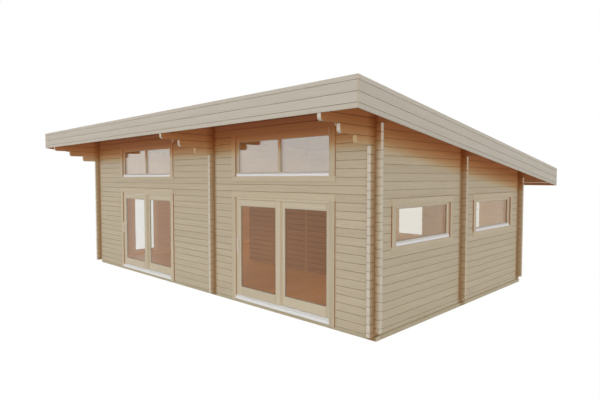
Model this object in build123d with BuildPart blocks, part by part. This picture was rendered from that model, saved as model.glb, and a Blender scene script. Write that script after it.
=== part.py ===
"""Log cabin with a single-slope roof, two glazed sliding doors and machined, V-grooved log walls.

Sizes are in millimetres. In the figures below X runs along the front from the left corner, Y runs from the
front wall's outer face to the rear and Z is up from the ground. The finished part is moved so that its
origin is the bottom centre of the whole cabin, roof overhangs included.
"""

import os

from build123d import *

os.makedirs("parts", exist_ok=True)

# Plan and log sizes
LENGTH = 9850
DEPTH = 5850
LOG = 70
COURSE = 134
SILL_TOP = COURSE / 2
LOG_END = 104
GROOVE_DEPTH = 6
GROOVE_HALF = 6

# Roof
FRONT_OVERHANG = 1226
REAR_OVERHANG = 663
SIDE_OVERHANG = 620
SLOPE = 0.1327
SOFFIT_AT_FRONT_WALL = 3517
FASCIA = 20
FASCIA_DEPTH = 408
FASCIA_ABOVE_SOFFIT = 46
DECK_RISE = 30
COVERING_RISE = 8

# Partitions: the middle one runs front to rear, the cross one runs side to side
MIDDLE_X = 5706
CROSS_Y = 2828
STUB_DEPTH = 650
OPEN_WAY_TOP = 16 * COURSE
DOORWAY_TOP = 15.5 * COURSE
LEFT_DOORWAY = (2640, 3490)
RIGHT_DOORWAY = (8170, 9020)

# Trim boards round every opening, with a narrower one under each window; the hole in the logs is smaller
# by the lap on each side
TRIM = 115
TRIM_PROUD = 22
TRIM_LAP = 60
LOW_TRIM = 95
BOARD_JOINT = 1

# Doors: the two start positions are the outer edges of the left trim boards
DOOR_STARTS = (1488, 6406)
DOOR_LENGTH = 2680
DOOR_TOP = 16.5 * COURSE
TRIM_FOOT = 47
JAMB = TRIM - TRIM_LAP
HEAD_LOW = 2051
FRAME_DEPTH = 100
THRESHOLD_TOP = 145
THRESHOLD_LIP = 30
RUNNING_GAP = 6
LEAF_THICKNESS = 42
LEAF_FRONT = 4
LEAF_OVERLAP = 54
STILE = 125
BOTTOM_RAIL = 172
TOP_RAIL = 122
GLASS = 24
HANDLE_LOW = 1005
HANDLE_HIGH = 1290
HANDLE_RADIUS = 9
HANDLE_STAND_OFF = 42
HANDLE_POST_INSET = 38

# Windows, as the outer edges of their trim boards
TRANSOM_LOW = 2405
TRANSOM_HIGH = 3410
SIDE_WINDOW_LOW = 1286
SIDE_WINDOW_HIGH = 16 * COURSE
RIGHT_WINDOWS = ((445, 2485), (3355, 5395))
LEFT_WINDOW = (3355, 5395)
TALL_WINDOW = (921, 1881)
TALL_WINDOW_LOW = SILL_TOP
REAR_WINDOW_LOW = 737
REAR_WINDOW_HIGH = 16.5 * COURSE
WINDOW_BAR = 105
TRANSOM_HEAD_BAR = 185
WINDOW_RECESS = 24
WINDOW_DEPTH = 46
MULLION = 60
MULLION_PROUD = 14
WINDOW_SILL_LIP = 42
WINDOW_SILL_OUT = 8
WINDOW_SILL_SPARE = 20
WINDOW_SILL_REVEAL = 4

# Corbels: how far each carrying log stands out of the front wall, from the lowest up
CORBEL_LOW = 22 * COURSE
CORBEL_STEPS = (445, 810)
CORBEL_REACH = FRONT_OVERHANG - FASCIA
CORBEL_ROUND = 60

# Lowest log of each purlin that carries the side overhangs: front wall, cross partition, rear wall
PURLIN_LOWS = {0: 24.5 * COURSE, CROSS_Y: 21.5 * COURSE, DEPTH - LOG: 18.5 * COURSE}

# Foundation beams and floor: the beams stand back from the left corners and stand out on the right side
BEAM = 120
PARTITION_BEAM = 170
BEAM_GAP = 2
FOUNDATION_LEFT = 133
FOUNDATION_OUT = 40
FLOOR_TOP = 95

# Places worked out from the sizes above
MID_X = LENGTH / 2
MID_Y = (DEPTH + REAR_OVERHANG - FRONT_OVERHANG) / 2
REAR_Y = DEPTH - LOG
RIGHT_X = LENGTH - LOG
ROOF_LEFT = FASCIA - SIDE_OVERHANG
ROOF_RIGHT = LENGTH - ROOF_LEFT
ROOF_FRONT = FASCIA - FRONT_OVERHANG
ROOF_REAR = DEPTH + REAR_OVERHANG - FASCIA
LENGTHWISE_WALLS = (0, MIDDLE_X, RIGHT_X)
BAYS = ((LOG, MIDDLE_X), (MIDDLE_X + LOG, RIGHT_X))
DOOR_HOLES = [(start + TRIM_LAP, start + DOOR_LENGTH - TRIM_LAP) for start in DOOR_STARTS]
LEAF_WIDTH = (DOOR_LENGTH - 2 * TRIM_LAP - 2 * JAMB - RUNNING_GAP + LEAF_OVERLAP) / 2
LEAF_LOW = THRESHOLD_TOP + RUNNING_GAP
LEAF_HIGH = HEAD_LOW - RUNNING_GAP


def soffit(y):
    """Height of the roof deck's underside at depth y."""
    return SOFFIT_AT_FRONT_WALL - SLOPE * y


def save(builder, name):
    """Name a finished sub-part and write its file."""
    builder.part.label = name
    export_step(builder.part, f"parts/{name}.step")


def block(x_span, y_span, z_span, mode=Mode.ADD):
    """Add or cut a box between two corners."""
    corner = (x_span[0] - MID_X, y_span[0] - MID_Y, z_span[0])
    size = [high - low for low, high in (x_span, y_span, z_span)]
    with Locations(corner):
        Box(*size, align=(Align.MIN, Align.MIN, Align.MIN), mode=mode)


def grooved_outline(face, low, front_high, back_high, first_groove):
    """Section of a log wall: a strip one log thick with a V groove at each joint between courses."""
    joints = []
    joint = first_groove
    while joint < max(front_high, back_high):
        joints.append(joint)
        joint += COURSE

    def side(position, high, inward):
        """Points up one face, from the lowest to the highest."""
        inset = position + inward * GROOVE_DEPTH
        points = [(position, low)]
        for z in joints:
            if abs(z - low) < 1:
                points = [(inset, low), (position, low + GROOVE_HALF)]
            elif low + GROOVE_HALF < z < high - GROOVE_HALF:
                points += [(position, z - GROOVE_HALF), (inset, z), (position, z + GROOVE_HALF)]
        if joints and abs(joints[-1] + COURSE - high) < 1:
            return points + [(position, high - GROOVE_HALF), (inset, high)]
        return points + [(position, high)]

    return side(face, front_high, 1) + side(face + LOG, back_high, -1)[::-1]


def first_joint(low, lift):
    """Lowest joint at or above `low`, for joints that lie `lift` above each whole course."""
    count = -(-(low - lift) // COURSE)
    return lift + count * COURSE


def logs_along_x(x_span, face, low, high=None):
    """Stack of logs that runs along X with its outer side at Y = face, up to the roof if no top is given."""
    front_high = soffit(face) if high is None else high
    back_high = soffit(face + LOG) if high is None else high
    outline = grooved_outline(face, low, front_high, back_high, first_joint(low, COURSE / 2))
    with BuildSketch(Plane.YZ.offset(x_span[0] - MID_X)) as section:
        with BuildLine():
            Polyline([(y - MID_Y, z) for y, z in outline], close=True)
        make_face()
    extrude(section.sketch, amount=x_span[1] - x_span[0])


def logs_along_y(y_span, face, low, high=None):
    """Stack of logs that runs along Y with its left side at X = face, cut by the roof if no top is given."""
    top = soffit(y_span[0]) + COURSE if high is None else high
    outline = grooved_outline(face, low, top, top, first_joint(low, 0))
    with BuildSketch(Plane.XZ.offset(MID_Y - y_span[1])) as section:
        with BuildLine():
            Polyline([(x - MID_X, z) for x, z in outline], close=True)
        make_face()
    extrude(section.sketch, amount=y_span[1] - y_span[0])


def cut_to_roof():
    """Take away all that stands above the roof deck's underside."""
    near, far = -2 * FRONT_OVERHANG, 2 * DEPTH
    slab = [(near, 0), (far, 0), (far, DEPTH), (near, DEPTH)]
    with BuildSketch(Plane.YZ.offset(-LENGTH)) as section:
        with BuildLine():
            Polyline([(y - MID_Y, soffit(y) + rise) for y, rise in slab], close=True)
        make_face()
    extrude(section.sketch, amount=2 * LENGTH, mode=Mode.SUBTRACT)


def roof_strip(x_span, y_span, low, high):
    """Sloping slab between two heights above the soffit."""
    corners = [(y_span[0], low), (y_span[1], low), (y_span[1], high), (y_span[0], high)]
    with BuildSketch(Plane.YZ.offset(x_span[0] - MID_X)) as section:
        with BuildLine():
            Polyline([(y - MID_Y, soffit(y) + rise) for y, rise in corners], close=True)
        make_face()
    extrude(section.sketch, amount=x_span[1] - x_span[0])


def inset(span, amount):
    """Span made shorter by the same amount at both ends."""
    return (span[0] + amount, span[1] - amount)


# Foundation beams under the outer walls and the partitions
with BuildPart() as foundation_beams:
    front_run = (FOUNDATION_LEFT, LENGTH + FOUNDATION_OUT)
    block(front_run, (0, BEAM), (0, SILL_TOP))
    block(front_run, (DEPTH - BEAM, DEPTH), (0, SILL_TOP))
    beam_run = (BEAM + BEAM_GAP, DEPTH - BEAM - BEAM_GAP)
    right_beam = (LENGTH + FOUNDATION_OUT - BEAM, LENGTH + FOUNDATION_OUT)
    block((0, BEAM), inset(beam_run, BEAM_GAP), (0, SILL_TOP))
    block(right_beam, beam_run, (0, SILL_TOP))
    beam_side = (PARTITION_BEAM - LOG) / 2
    middle_beam = (MIDDLE_X - beam_side, MIDDLE_X + LOG + beam_side)
    block(middle_beam, beam_run, (0, SILL_TOP))
    cross_beam = (CROSS_Y - beam_side, CROSS_Y + LOG + beam_side)
    block((BEAM + BEAM_GAP, middle_beam[0] - BEAM_GAP), cross_beam, (0, SILL_TOP))
    block((middle_beam[1] + BEAM_GAP, right_beam[0] - BEAM_GAP), cross_beam, (0, SILL_TOP))
save(foundation_beams, "foundation_beams")

# Cross partition: solid stretches beside the two doorways, then the logs over them
CROSS_PIERS = (
    (LOG, LEFT_DOORWAY[0]),
    (LEFT_DOORWAY[1], MIDDLE_X),
    (MIDDLE_X + LOG, RIGHT_DOORWAY[0]),
    (RIGHT_DOORWAY[1], RIGHT_X),
)
with BuildPart() as cross_partition_piers:
    for pier in CROSS_PIERS:
        logs_along_x(pier, CROSS_Y, SILL_TOP, DOORWAY_TOP)
save(cross_partition_piers, "cross_partition_piers")

with BuildPart() as cross_partition_upper_logs:
    for bay in BAYS:
        logs_along_x(bay, CROSS_Y, DOORWAY_TOP)
save(cross_partition_upper_logs, "cross_partition_upper_logs")

# Middle partition: a stub at the front, an open way, then a full wall between the rear rooms
with BuildPart() as middle_partition_lower_logs:
    logs_along_y((0, STUB_DEPTH), MIDDLE_X, SILL_TOP, OPEN_WAY_TOP)
    logs_along_y((CROSS_Y, DEPTH), MIDDLE_X, SILL_TOP, OPEN_WAY_TOP)
save(middle_partition_lower_logs, "middle_partition_lower_logs")

with BuildPart() as middle_partition_upper_logs:
    logs_along_y((0, DEPTH), MIDDLE_X, OPEN_WAY_TOP)
    cut_to_roof()
save(middle_partition_upper_logs, "middle_partition_upper_logs")

# Floor boards round the feet of the partitions and the door frames
with BuildPart() as floor_boards:
    floor_rise = (SILL_TOP, FLOOR_TOP)
    block((LOG, RIGHT_X), (LOG, REAR_Y), floor_rise)
    block((MIDDLE_X, MIDDLE_X + LOG), (LOG, STUB_DEPTH), floor_rise, mode=Mode.SUBTRACT)
    block((MIDDLE_X, MIDDLE_X + LOG), (CROSS_Y, REAR_Y), floor_rise, mode=Mode.SUBTRACT)
    for pier in CROSS_PIERS:
        block(pier, (CROSS_Y, CROSS_Y + LOG), floor_rise, mode=Mode.SUBTRACT)
    for hole in DOOR_HOLES:
        block(hole, (LOG, FRAME_DEPTH), floor_rise, mode=Mode.SUBTRACT)
save(floor_boards, "floor_boards")

# Front wall: full-height piers, the logs between each door and its transom, and the logs on top
FRONT_PIERS = (
    (LOG, DOOR_HOLES[0][0]),
    (DOOR_HOLES[0][1], MIDDLE_X),
    (MIDDLE_X + LOG, DOOR_HOLES[1][0]),
    (DOOR_HOLES[1][1], RIGHT_X),
)
with BuildPart() as front_wall_piers:
    for pier in FRONT_PIERS:
        logs_along_x(pier, 0, SILL_TOP)
save(front_wall_piers, "front_wall_piers")

with BuildPart() as front_wall_door_heads:
    for hole in DOOR_HOLES:
        logs_along_x(hole, 0, DOOR_TOP - TRIM_LAP, TRANSOM_LOW + TRIM_LAP)
save(front_wall_door_heads, "front_wall_door_heads")

with BuildPart() as front_wall_top_logs:
    for hole in DOOR_HOLES:
        logs_along_x(hole, 0, TRANSOM_HIGH - TRIM_LAP)
save(front_wall_top_logs, "front_wall_top_logs")

# Right wall in three lifts: below the windows, between them and above
side_low = SIDE_WINDOW_LOW + TRIM_LAP
side_high = SIDE_WINDOW_HIGH - TRIM_LAP
with BuildPart() as right_wall_lower_logs:
    logs_along_y((0, DEPTH), RIGHT_X, SILL_TOP, side_low)
save(right_wall_lower_logs, "right_wall_lower_logs")

with BuildPart() as right_wall_window_piers:
    near, far = [inset(window, TRIM_LAP) for window in RIGHT_WINDOWS]
    for pier in ((0, near[0]), (near[1], far[0]), (far[1], DEPTH)):
        logs_along_y(pier, RIGHT_X, side_low, side_high)
save(right_wall_window_piers, "right_wall_window_piers")

with BuildPart() as right_wall_upper_logs:
    logs_along_y((0, DEPTH), RIGHT_X, side_high)
    cut_to_roof()
save(right_wall_upper_logs, "right_wall_upper_logs")

# Left wall in the same lifts, with the tall window cut through the lower two
tall = inset(TALL_WINDOW, TRIM_LAP)
left = inset(LEFT_WINDOW, TRIM_LAP)
with BuildPart() as left_wall_lower_logs:
    logs_along_y((0, DEPTH), 0, SILL_TOP, side_low)
    block((0, LOG), tall, (TALL_WINDOW_LOW + TRIM_LAP, side_low), mode=Mode.SUBTRACT)
save(left_wall_lower_logs, "left_wall_lower_logs")

with BuildPart() as left_wall_window_piers:
    for pier in ((0, tall[0]), (tall[1], left[0]), (left[1], DEPTH)):
        logs_along_y(pier, 0, side_low, side_high)
save(left_wall_window_piers, "left_wall_window_piers")

with BuildPart() as left_wall_upper_logs:
    logs_along_y((0, DEPTH), 0, side_high)
    cut_to_roof()
save(left_wall_upper_logs, "left_wall_upper_logs")

# Rear wall, with a two-pane window opposite each front door
rear_low = REAR_WINDOW_LOW + TRIM_LAP
rear_high = REAR_WINDOW_HIGH - TRIM_LAP
with BuildPart() as rear_wall_lower_logs:
    for bay in BAYS:
        logs_along_x(bay, REAR_Y, SILL_TOP, rear_low)
save(rear_wall_lower_logs, "rear_wall_lower_logs")

with BuildPart() as rear_wall_window_piers:
    for pier in FRONT_PIERS:
        logs_along_x(pier, REAR_Y, rear_low, rear_high)
save(rear_wall_window_piers, "rear_wall_window_piers")

with BuildPart() as rear_wall_upper_logs:
    for bay in BAYS:
        logs_along_x(bay, REAR_Y, rear_high)
save(rear_wall_upper_logs, "rear_wall_upper_logs")

# Log ends that cross at the corners and where the partitions meet the outer walls
with BuildPart() as front_log_ends:
    for face in LENGTHWISE_WALLS:
        logs_along_y((-LOG_END, 0), face, SILL_TOP, CORBEL_LOW)
save(front_log_ends, "front_log_ends")

with BuildPart() as rear_log_ends:
    for face in LENGTHWISE_WALLS:
        logs_along_y((DEPTH, DEPTH + LOG_END), face, SILL_TOP)
    cut_to_roof()
save(rear_log_ends, "rear_log_ends")

with BuildPart() as side_log_ends:
    for face, purlin_low in PURLIN_LOWS.items():
        for run in ((-LOG_END, 0), (LENGTH, LENGTH + LOG_END)):
            logs_along_x(run, face, COURSE, purlin_low)
save(side_log_ends, "side_log_ends")

# Purlins: the top logs run on to the side fascias and carry the overhangs
with BuildPart() as side_eave_purlins:
    for face, purlin_low in PURLIN_LOWS.items():
        for run in ((ROOF_LEFT, 0), (LENGTH, ROOF_RIGHT)):
            logs_along_x(run, face, purlin_low)
save(side_eave_purlins, "side_eave_purlins")

# Corbels: the top logs of the lengthwise walls step out under the front overhang
with BuildPart() as front_corbels:
    reaches = [-reach for reach in (*CORBEL_STEPS, CORBEL_REACH)]
    outline = [(0, CORBEL_LOW)]
    for step, reach in enumerate(reaches):
        outline += [(reach, CORBEL_LOW + step * COURSE), (reach, CORBEL_LOW + (step + 1) * COURSE)]
    outline[-1] = (reaches[-1], soffit(reaches[-1]))
    outline.append((0, soffit(0)))
    noses = [(reach - MID_Y, CORBEL_LOW + step * COURSE) for step, reach in enumerate(reaches)]
    for face in LENGTHWISE_WALLS:
        with BuildSketch(Plane.YZ.offset(face - MID_X)) as corbel_side:
            with BuildLine():
                Polyline([(y - MID_Y, z) for y, z in outline], close=True)
            make_face()
            corners = [
                corner
                for corner in corbel_side.vertices()
                if (round(corner.X, 3), round(corner.Y, 3)) in noses
            ]
            fillet(corners, CORBEL_ROUND)
        extrude(amount=LOG)
        joint = CORBEL_LOW + COURSE
        while joint < soffit(-CORBEL_REACH):
            for edge, inward in ((face, 1), (face + LOG, -1)):
                with BuildSketch(Plane.XZ.offset(MID_Y)):
                    with BuildLine():
                        inner = edge + inward * GROOVE_DEPTH - MID_X
                        outer = edge - MID_X
                        groove_low = joint - GROOVE_HALF
                        groove_high = joint + GROOVE_HALF
                        Polyline([(outer, groove_low), (inner, joint), (outer, groove_high)], close=True)
                    make_face()
                extrude(amount=FRONT_OVERHANG, mode=Mode.SUBTRACT)
            joint += COURSE
save(front_corbels, "front_corbels")

# Roof: a boarded deck, its waterproof covering, and a deep fascia on all four sides
ROOF_X = (ROOF_LEFT, ROOF_RIGHT)
ROOF_Y = (ROOF_FRONT, ROOF_REAR)
with BuildPart() as roof_deck:
    roof_strip(ROOF_X, ROOF_Y, 0, DECK_RISE)
save(roof_deck, "roof_deck")

with BuildPart() as roof_covering:
    roof_strip(ROOF_X, ROOF_Y, DECK_RISE, DECK_RISE + COVERING_RISE)
save(roof_covering, "roof_covering")

FASCIA_RISE = (FASCIA_ABOVE_SOFFIT - FASCIA_DEPTH, FASCIA_ABOVE_SOFFIT)
with BuildPart() as front_fascia:
    roof_strip(ROOF_X, (-FRONT_OVERHANG, ROOF_FRONT), *FASCIA_RISE)
save(front_fascia, "front_fascia")

with BuildPart() as rear_fascia:
    roof_strip(ROOF_X, (ROOF_REAR, DEPTH + REAR_OVERHANG), *FASCIA_RISE)
save(rear_fascia, "rear_fascia")

with BuildPart() as left_fascia:
    roof_strip((-SIDE_OVERHANG, ROOF_LEFT), (-FRONT_OVERHANG, DEPTH + REAR_OVERHANG), *FASCIA_RISE)
save(left_fascia, "left_fascia")

with BuildPart() as right_fascia:
    roof_strip((ROOF_RIGHT, LENGTH + SIDE_OVERHANG), (-FRONT_OVERHANG, DEPTH + REAR_OVERHANG), *FASCIA_RISE)
save(right_fascia, "right_fascia")

# Door frames: two jambs and a head round each pair of leaves
with BuildPart() as door_frames:
    for hole in DOOR_HOLES:
        block(hole, (0, FRAME_DEPTH), (SILL_TOP, DOOR_TOP - TRIM_LAP))
        block(inset(hole, JAMB), (0, FRAME_DEPTH), (SILL_TOP, HEAD_LOW), mode=Mode.SUBTRACT)
save(door_frames, "door_frames")

with BuildPart() as door_thresholds:
    for hole in DOOR_HOLES:
        block(inset(hole, JAMB), (-THRESHOLD_LIP, FRAME_DEPTH), (SILL_TOP, THRESHOLD_TOP))
save(door_thresholds, "door_thresholds")

with BuildPart() as door_trims:
    for start in DOOR_STARTS:
        stop = start + DOOR_LENGTH
        rise = (TRIM_FOOT, DOOR_TOP - TRIM - BOARD_JOINT)
        block((start, start + TRIM), (-TRIM_PROUD, 0), rise)
        block((stop - TRIM, stop), (-TRIM_PROUD, 0), rise)
        block((start, stop), (-TRIM_PROUD, 0), (DOOR_TOP - TRIM, DOOR_TOP))
save(door_trims, "door_trims")


def leaf(start, front):
    """Glazed door leaf: a frame of two stiles and two rails."""
    leaf_y = (front, front + LEAF_THICKNESS)
    block((start, start + LEAF_WIDTH), leaf_y, (LEAF_LOW, LEAF_HIGH))
    light = (LEAF_LOW + BOTTOM_RAIL, LEAF_HIGH - TOP_RAIL)
    block(inset((start, start + LEAF_WIDTH), STILE), leaf_y, light, mode=Mode.SUBTRACT)


def leaf_glass(start, front):
    """Sealed glass unit that fills a leaf's frame."""
    glass_front = front + (LEAF_THICKNESS - GLASS) / 2
    light = (LEAF_LOW + BOTTOM_RAIL, LEAF_HIGH - TOP_RAIL)
    block(inset((start, start + LEAF_WIDTH), STILE), (glass_front, glass_front + GLASS), light)


# The right leaf of each door is fixed, and stands on the inner track
FIXED_FRONT = LEAF_FRONT + LEAF_THICKNESS + RUNNING_GAP
FIXED_STARTS = [hole[1] - JAMB - LEAF_WIDTH for hole in DOOR_HOLES]
with BuildPart() as fixed_door_leaves:
    for start in FIXED_STARTS:
        leaf(start, FIXED_FRONT)
save(fixed_door_leaves, "fixed_door_leaves")

with BuildPart() as fixed_door_glass:
    for start in FIXED_STARTS:
        leaf_glass(start, FIXED_FRONT)
save(fixed_door_glass, "fixed_door_glass")

# The left leaf of each door slides to the right on the outer track, pulled by a bar handle
for side_name, hole in zip(("left", "right"), DOOR_HOLES):
    leaf_start = hole[0] + JAMB + RUNNING_GAP
    with BuildPart() as sliding_leaf:
        leaf(leaf_start, LEAF_FRONT)
    save(sliding_leaf, f"{side_name}_sliding_leaf")

    with BuildPart() as sliding_glass:
        leaf_glass(leaf_start, LEAF_FRONT)
    save(sliding_glass, f"{side_name}_sliding_glass")

    with BuildPart() as door_handle:
        handle_x = leaf_start + STILE / 2 - MID_X
        with BuildSketch(Plane.XY.offset(HANDLE_LOW)):
            with Locations((handle_x, LEAF_FRONT - HANDLE_STAND_OFF - MID_Y)):
                Circle(HANDLE_RADIUS)
        extrude(amount=HANDLE_HIGH - HANDLE_LOW)
        with BuildSketch(Plane.XZ.offset(MID_Y - LEAF_FRONT)):
            with Locations(
                (handle_x, HANDLE_LOW + HANDLE_POST_INSET),
                (handle_x, HANDLE_HIGH - HANDLE_POST_INSET),
            ):
                Circle(HANDLE_RADIUS)
        extrude(amount=HANDLE_STAND_OFF)
    save(door_handle, f"{side_name}_door_handle")

# Every window as the wall it is in, its run along that wall and its rise. Those at the front and rear have a
# mullion, and those over the doors have a deeper top bar.
WINDOWS = []
for start in DOOR_STARTS:
    WINDOWS.append(("front", (start, start + DOOR_LENGTH), (TRANSOM_LOW, TRANSOM_HIGH)))
    WINDOWS.append(("rear", (start, start + DOOR_LENGTH), (REAR_WINDOW_LOW, REAR_WINDOW_HIGH)))
WINDOWS += [("right", window, (SIDE_WINDOW_LOW, SIDE_WINDOW_HIGH)) for window in RIGHT_WINDOWS]
WINDOWS.append(("left", LEFT_WINDOW, (SIDE_WINDOW_LOW, SIDE_WINDOW_HIGH)))
WINDOWS.append(("left", TALL_WINDOW, (TALL_WINDOW_LOW, SIDE_WINDOW_HIGH)))


def wall_block(wall, run, outward, rise, mode=Mode.ADD):
    """Box in a wall's own terms: along it, outward from its face (negative inside the wall), and up."""
    outward = sorted(outward)
    if wall == "front":
        block(run, (-outward[1], -outward[0]), rise, mode)
    elif wall == "rear":
        block(run, (DEPTH + outward[0], DEPTH + outward[1]), rise, mode)
    elif wall == "left":
        block((-outward[1], -outward[0]), run, rise, mode)
    else:
        block((LENGTH + outward[0], LENGTH + outward[1]), run, rise, mode)


def panes(wall, run, rise):
    """Run and rise of each pane of glass in a window."""
    glass_run = inset(run, TRIM_LAP + WINDOW_BAR)
    head_bar = TRANSOM_HEAD_BAR if wall == "front" else WINDOW_BAR
    glass_rise = (rise[0] + TRIM_LAP + WINDOW_BAR, rise[1] - TRIM_LAP - head_bar)
    if wall in ("left", "right"):
        return [(glass_run, glass_rise)]
    middle = (glass_run[0] + glass_run[1]) / 2
    halves = ((glass_run[0], middle - MULLION / 2), (middle + MULLION / 2, glass_run[1]))
    return [(half, glass_rise) for half in halves]


frame_span = (-WINDOW_RECESS - WINDOW_DEPTH, -WINDOW_RECESS)
with BuildPart() as window_frames:
    for wall, run, rise in WINDOWS:
        wall_block(wall, inset(run, TRIM_LAP), frame_span, inset(rise, TRIM_LAP))
        for pane_run, pane_rise in panes(wall, run, rise):
            wall_block(wall, pane_run, frame_span, pane_rise, mode=Mode.SUBTRACT)
        if wall in ("front", "rear"):
            (first_pane, glass_rise), (second_pane, _) = panes(wall, run, rise)
            proud_span = (-WINDOW_RECESS, MULLION_PROUD - WINDOW_RECESS)
            wall_block(wall, (first_pane[1], second_pane[0]), proud_span, glass_rise)
save(window_frames, "window_frames")

pane_middle = -WINDOW_RECESS - WINDOW_DEPTH / 2
with BuildPart() as window_glass:
    for wall, run, rise in WINDOWS:
        for pane_run, pane_rise in panes(wall, run, rise):
            wall_block(wall, pane_run, (pane_middle - GLASS / 2, pane_middle + GLASS / 2), pane_rise)
save(window_glass, "window_glass")

with BuildPart() as window_trims:
    for wall, run, rise in WINDOWS:
        upright = (rise[0] + LOW_TRIM + BOARD_JOINT, rise[1] - TRIM - BOARD_JOINT)
        wall_block(wall, run, (0, TRIM_PROUD), (rise[1] - TRIM, rise[1]))
        wall_block(wall, run, (0, TRIM_PROUD), (rise[0], rise[0] + LOW_TRIM))
        wall_block(wall, (run[0], run[0] + TRIM), (0, TRIM_PROUD), upright)
        wall_block(wall, (run[1] - TRIM, run[1]), (0, TRIM_PROUD), upright)
save(window_trims, "window_trims")


def wall_bar(wall, run, outline):
    """Bar along a wall with an outline of (outward, up) points."""
    outward, corner = {
        "front": ((0, -1, 0), (run[1] - MID_X, -MID_Y, 0)),
        "rear": ((0, 1, 0), (run[0] - MID_X, DEPTH - MID_Y, 0)),
        "left": ((-1, 0, 0), (-MID_X, run[0] - MID_Y, 0)),
        "right": ((1, 0, 0), (LENGTH - MID_X, run[1] - MID_Y, 0)),
    }[wall]
    section_plane = Plane(origin=corner, x_dir=outward, z_dir=Vector(outward).cross(Vector(0, 0, 1)))
    with BuildSketch(section_plane) as section:
        with BuildLine():
            Polyline(outline, close=True)
        make_face()
    extrude(section.sketch, amount=run[1] - run[0])


# Sills: a sloping sheet from under the glass to an upright lip
with BuildPart() as window_sills:
    for wall, run, rise in WINDOWS:
        sill_low = rise[0] + LOW_TRIM + BOARD_JOINT
        sill_high = rise[0] + TRIM_LAP + WINDOW_BAR - WINDOW_SILL_REVEAL
        lip = [(WINDOW_SILL_OUT, sill_low), (WINDOW_SILL_OUT, sill_low + WINDOW_SILL_LIP)]
        back = [(-WINDOW_RECESS, sill_high), (-WINDOW_RECESS, sill_low)]
        wall_bar(wall, inset(run, TRIM + WINDOW_SILL_SPARE), lip + back)
save(window_sills, "window_sills")
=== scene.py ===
"""Looks of the log cabin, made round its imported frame.

Lengths are in metres. X runs along the front to the right, Y from the front to the rear, Z is up. Every
board and log is a section carried along a straight line, and keeps each point's place in the tree that it
was cut from, so that the wood's rings and fibres run through the piece as they do in real timber.
"""

import math

import bpy
import numpy as np
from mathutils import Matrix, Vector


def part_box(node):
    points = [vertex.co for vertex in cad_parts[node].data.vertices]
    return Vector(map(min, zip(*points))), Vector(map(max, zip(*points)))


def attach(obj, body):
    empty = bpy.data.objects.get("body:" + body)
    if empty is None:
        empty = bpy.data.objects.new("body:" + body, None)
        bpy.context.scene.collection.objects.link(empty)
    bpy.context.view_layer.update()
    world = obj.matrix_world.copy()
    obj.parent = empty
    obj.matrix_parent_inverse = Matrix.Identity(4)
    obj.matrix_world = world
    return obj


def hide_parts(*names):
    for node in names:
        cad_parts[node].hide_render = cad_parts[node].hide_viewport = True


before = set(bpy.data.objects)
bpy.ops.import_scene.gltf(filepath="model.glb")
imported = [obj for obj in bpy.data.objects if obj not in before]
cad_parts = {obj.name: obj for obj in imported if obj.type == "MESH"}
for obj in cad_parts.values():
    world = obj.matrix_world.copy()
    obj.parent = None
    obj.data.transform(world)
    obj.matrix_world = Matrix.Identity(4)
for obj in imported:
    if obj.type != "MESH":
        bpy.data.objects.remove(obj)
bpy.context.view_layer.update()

# Main lines of the cabin, read from the frame
WALL_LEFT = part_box("left_wall_lower_logs")[0].x
WALL_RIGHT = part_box("right_wall_lower_logs")[1].x
WALL_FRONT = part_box("front_wall_piers")[0].y
WALL_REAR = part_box("rear_wall_lower_logs")[1].y
ROOF_LOW, ROOF_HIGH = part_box("roof_deck")
EAVES_LOW, EAVES_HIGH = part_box("left_fascia")[0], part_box("right_fascia")[1]
MIDDLE_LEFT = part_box("middle_partition_upper_logs")[0].x
CROSS_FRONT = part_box("cross_partition_piers")[0].y

# Logs
COURSE = 0.134
LOG = 0.07
SILL_TOP = COURSE / 2
LOG_END = 0.104
V_DEPTH = 0.007
V_RISE = 0.008
LOG_GAP = 0.0019
V_EDGE = [(0, V_RISE), (0.0006, V_RISE - 0.0014), (V_DEPTH - 0.001, LOG_GAP + 0.0006), (V_DEPTH, LOG_GAP)]
TONGUE = 0.025
TONGUE_RISE = 0.008
TONGUE_PLAY = 0.001
END_EASE = 0.003
EASE = 0.003

# Sizes under which a course, a log or a cut piece is left out, and under which two places are the same
LEAST_COURSE = 0.003
LEAST_LOG = 0.01
LEAST_PIECE = 0.0035
SAME = 0.001

# Where a log lies in its tree: range up the tree, and the heart's least place and range in the section
TREE_RANGE = 40
HEART_U = (-0.03, 0.13)
HEART_V = (-0.02, 0.17)

# Foundation beams and floor planks
FOUNDATION_INSET = 0.133
BEAM = 0.12
MIDDLE_BEAM = 0.17
BEAM_JOINT = 0.002
PLANK = 0.12
PLANK_EASE = 0.0015
PLANK_GAP = 0.0012

# Near faces of the walls that run from front to rear, and of those that run from left to right
LENGTHWISE = (WALL_LEFT, MIDDLE_LEFT, WALL_RIGHT - LOG)
CROSSWISE = (WALL_FRONT, CROSS_FRONT, WALL_REAR - LOG)

# Roof
SLOPE = 0.1327
DECK = 0.03
COVERING = 0.008
FASCIA = 0.02
FASCIA_RISE = 0.046
FASCIA_DEPTH = 0.408
FASCIA_JOINTS = (0.064, 0.204, 0.340)
FASCIA_GAP = 0.0045
FASCIA_EASE = 0.0035
SOFFIT_BOARD = 0.12
SOFFIT_V = 0.004
SOFFIT_GAP = 0.0004
SHEET = 0.0035
SHEET_WIDTH = 1.0
SHEET_LAP = 0.1
LAP_LIFT = 0.0003
UNDER_ROOF_GAP = 0.0005
THIN_EDGE = 0.004

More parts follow.
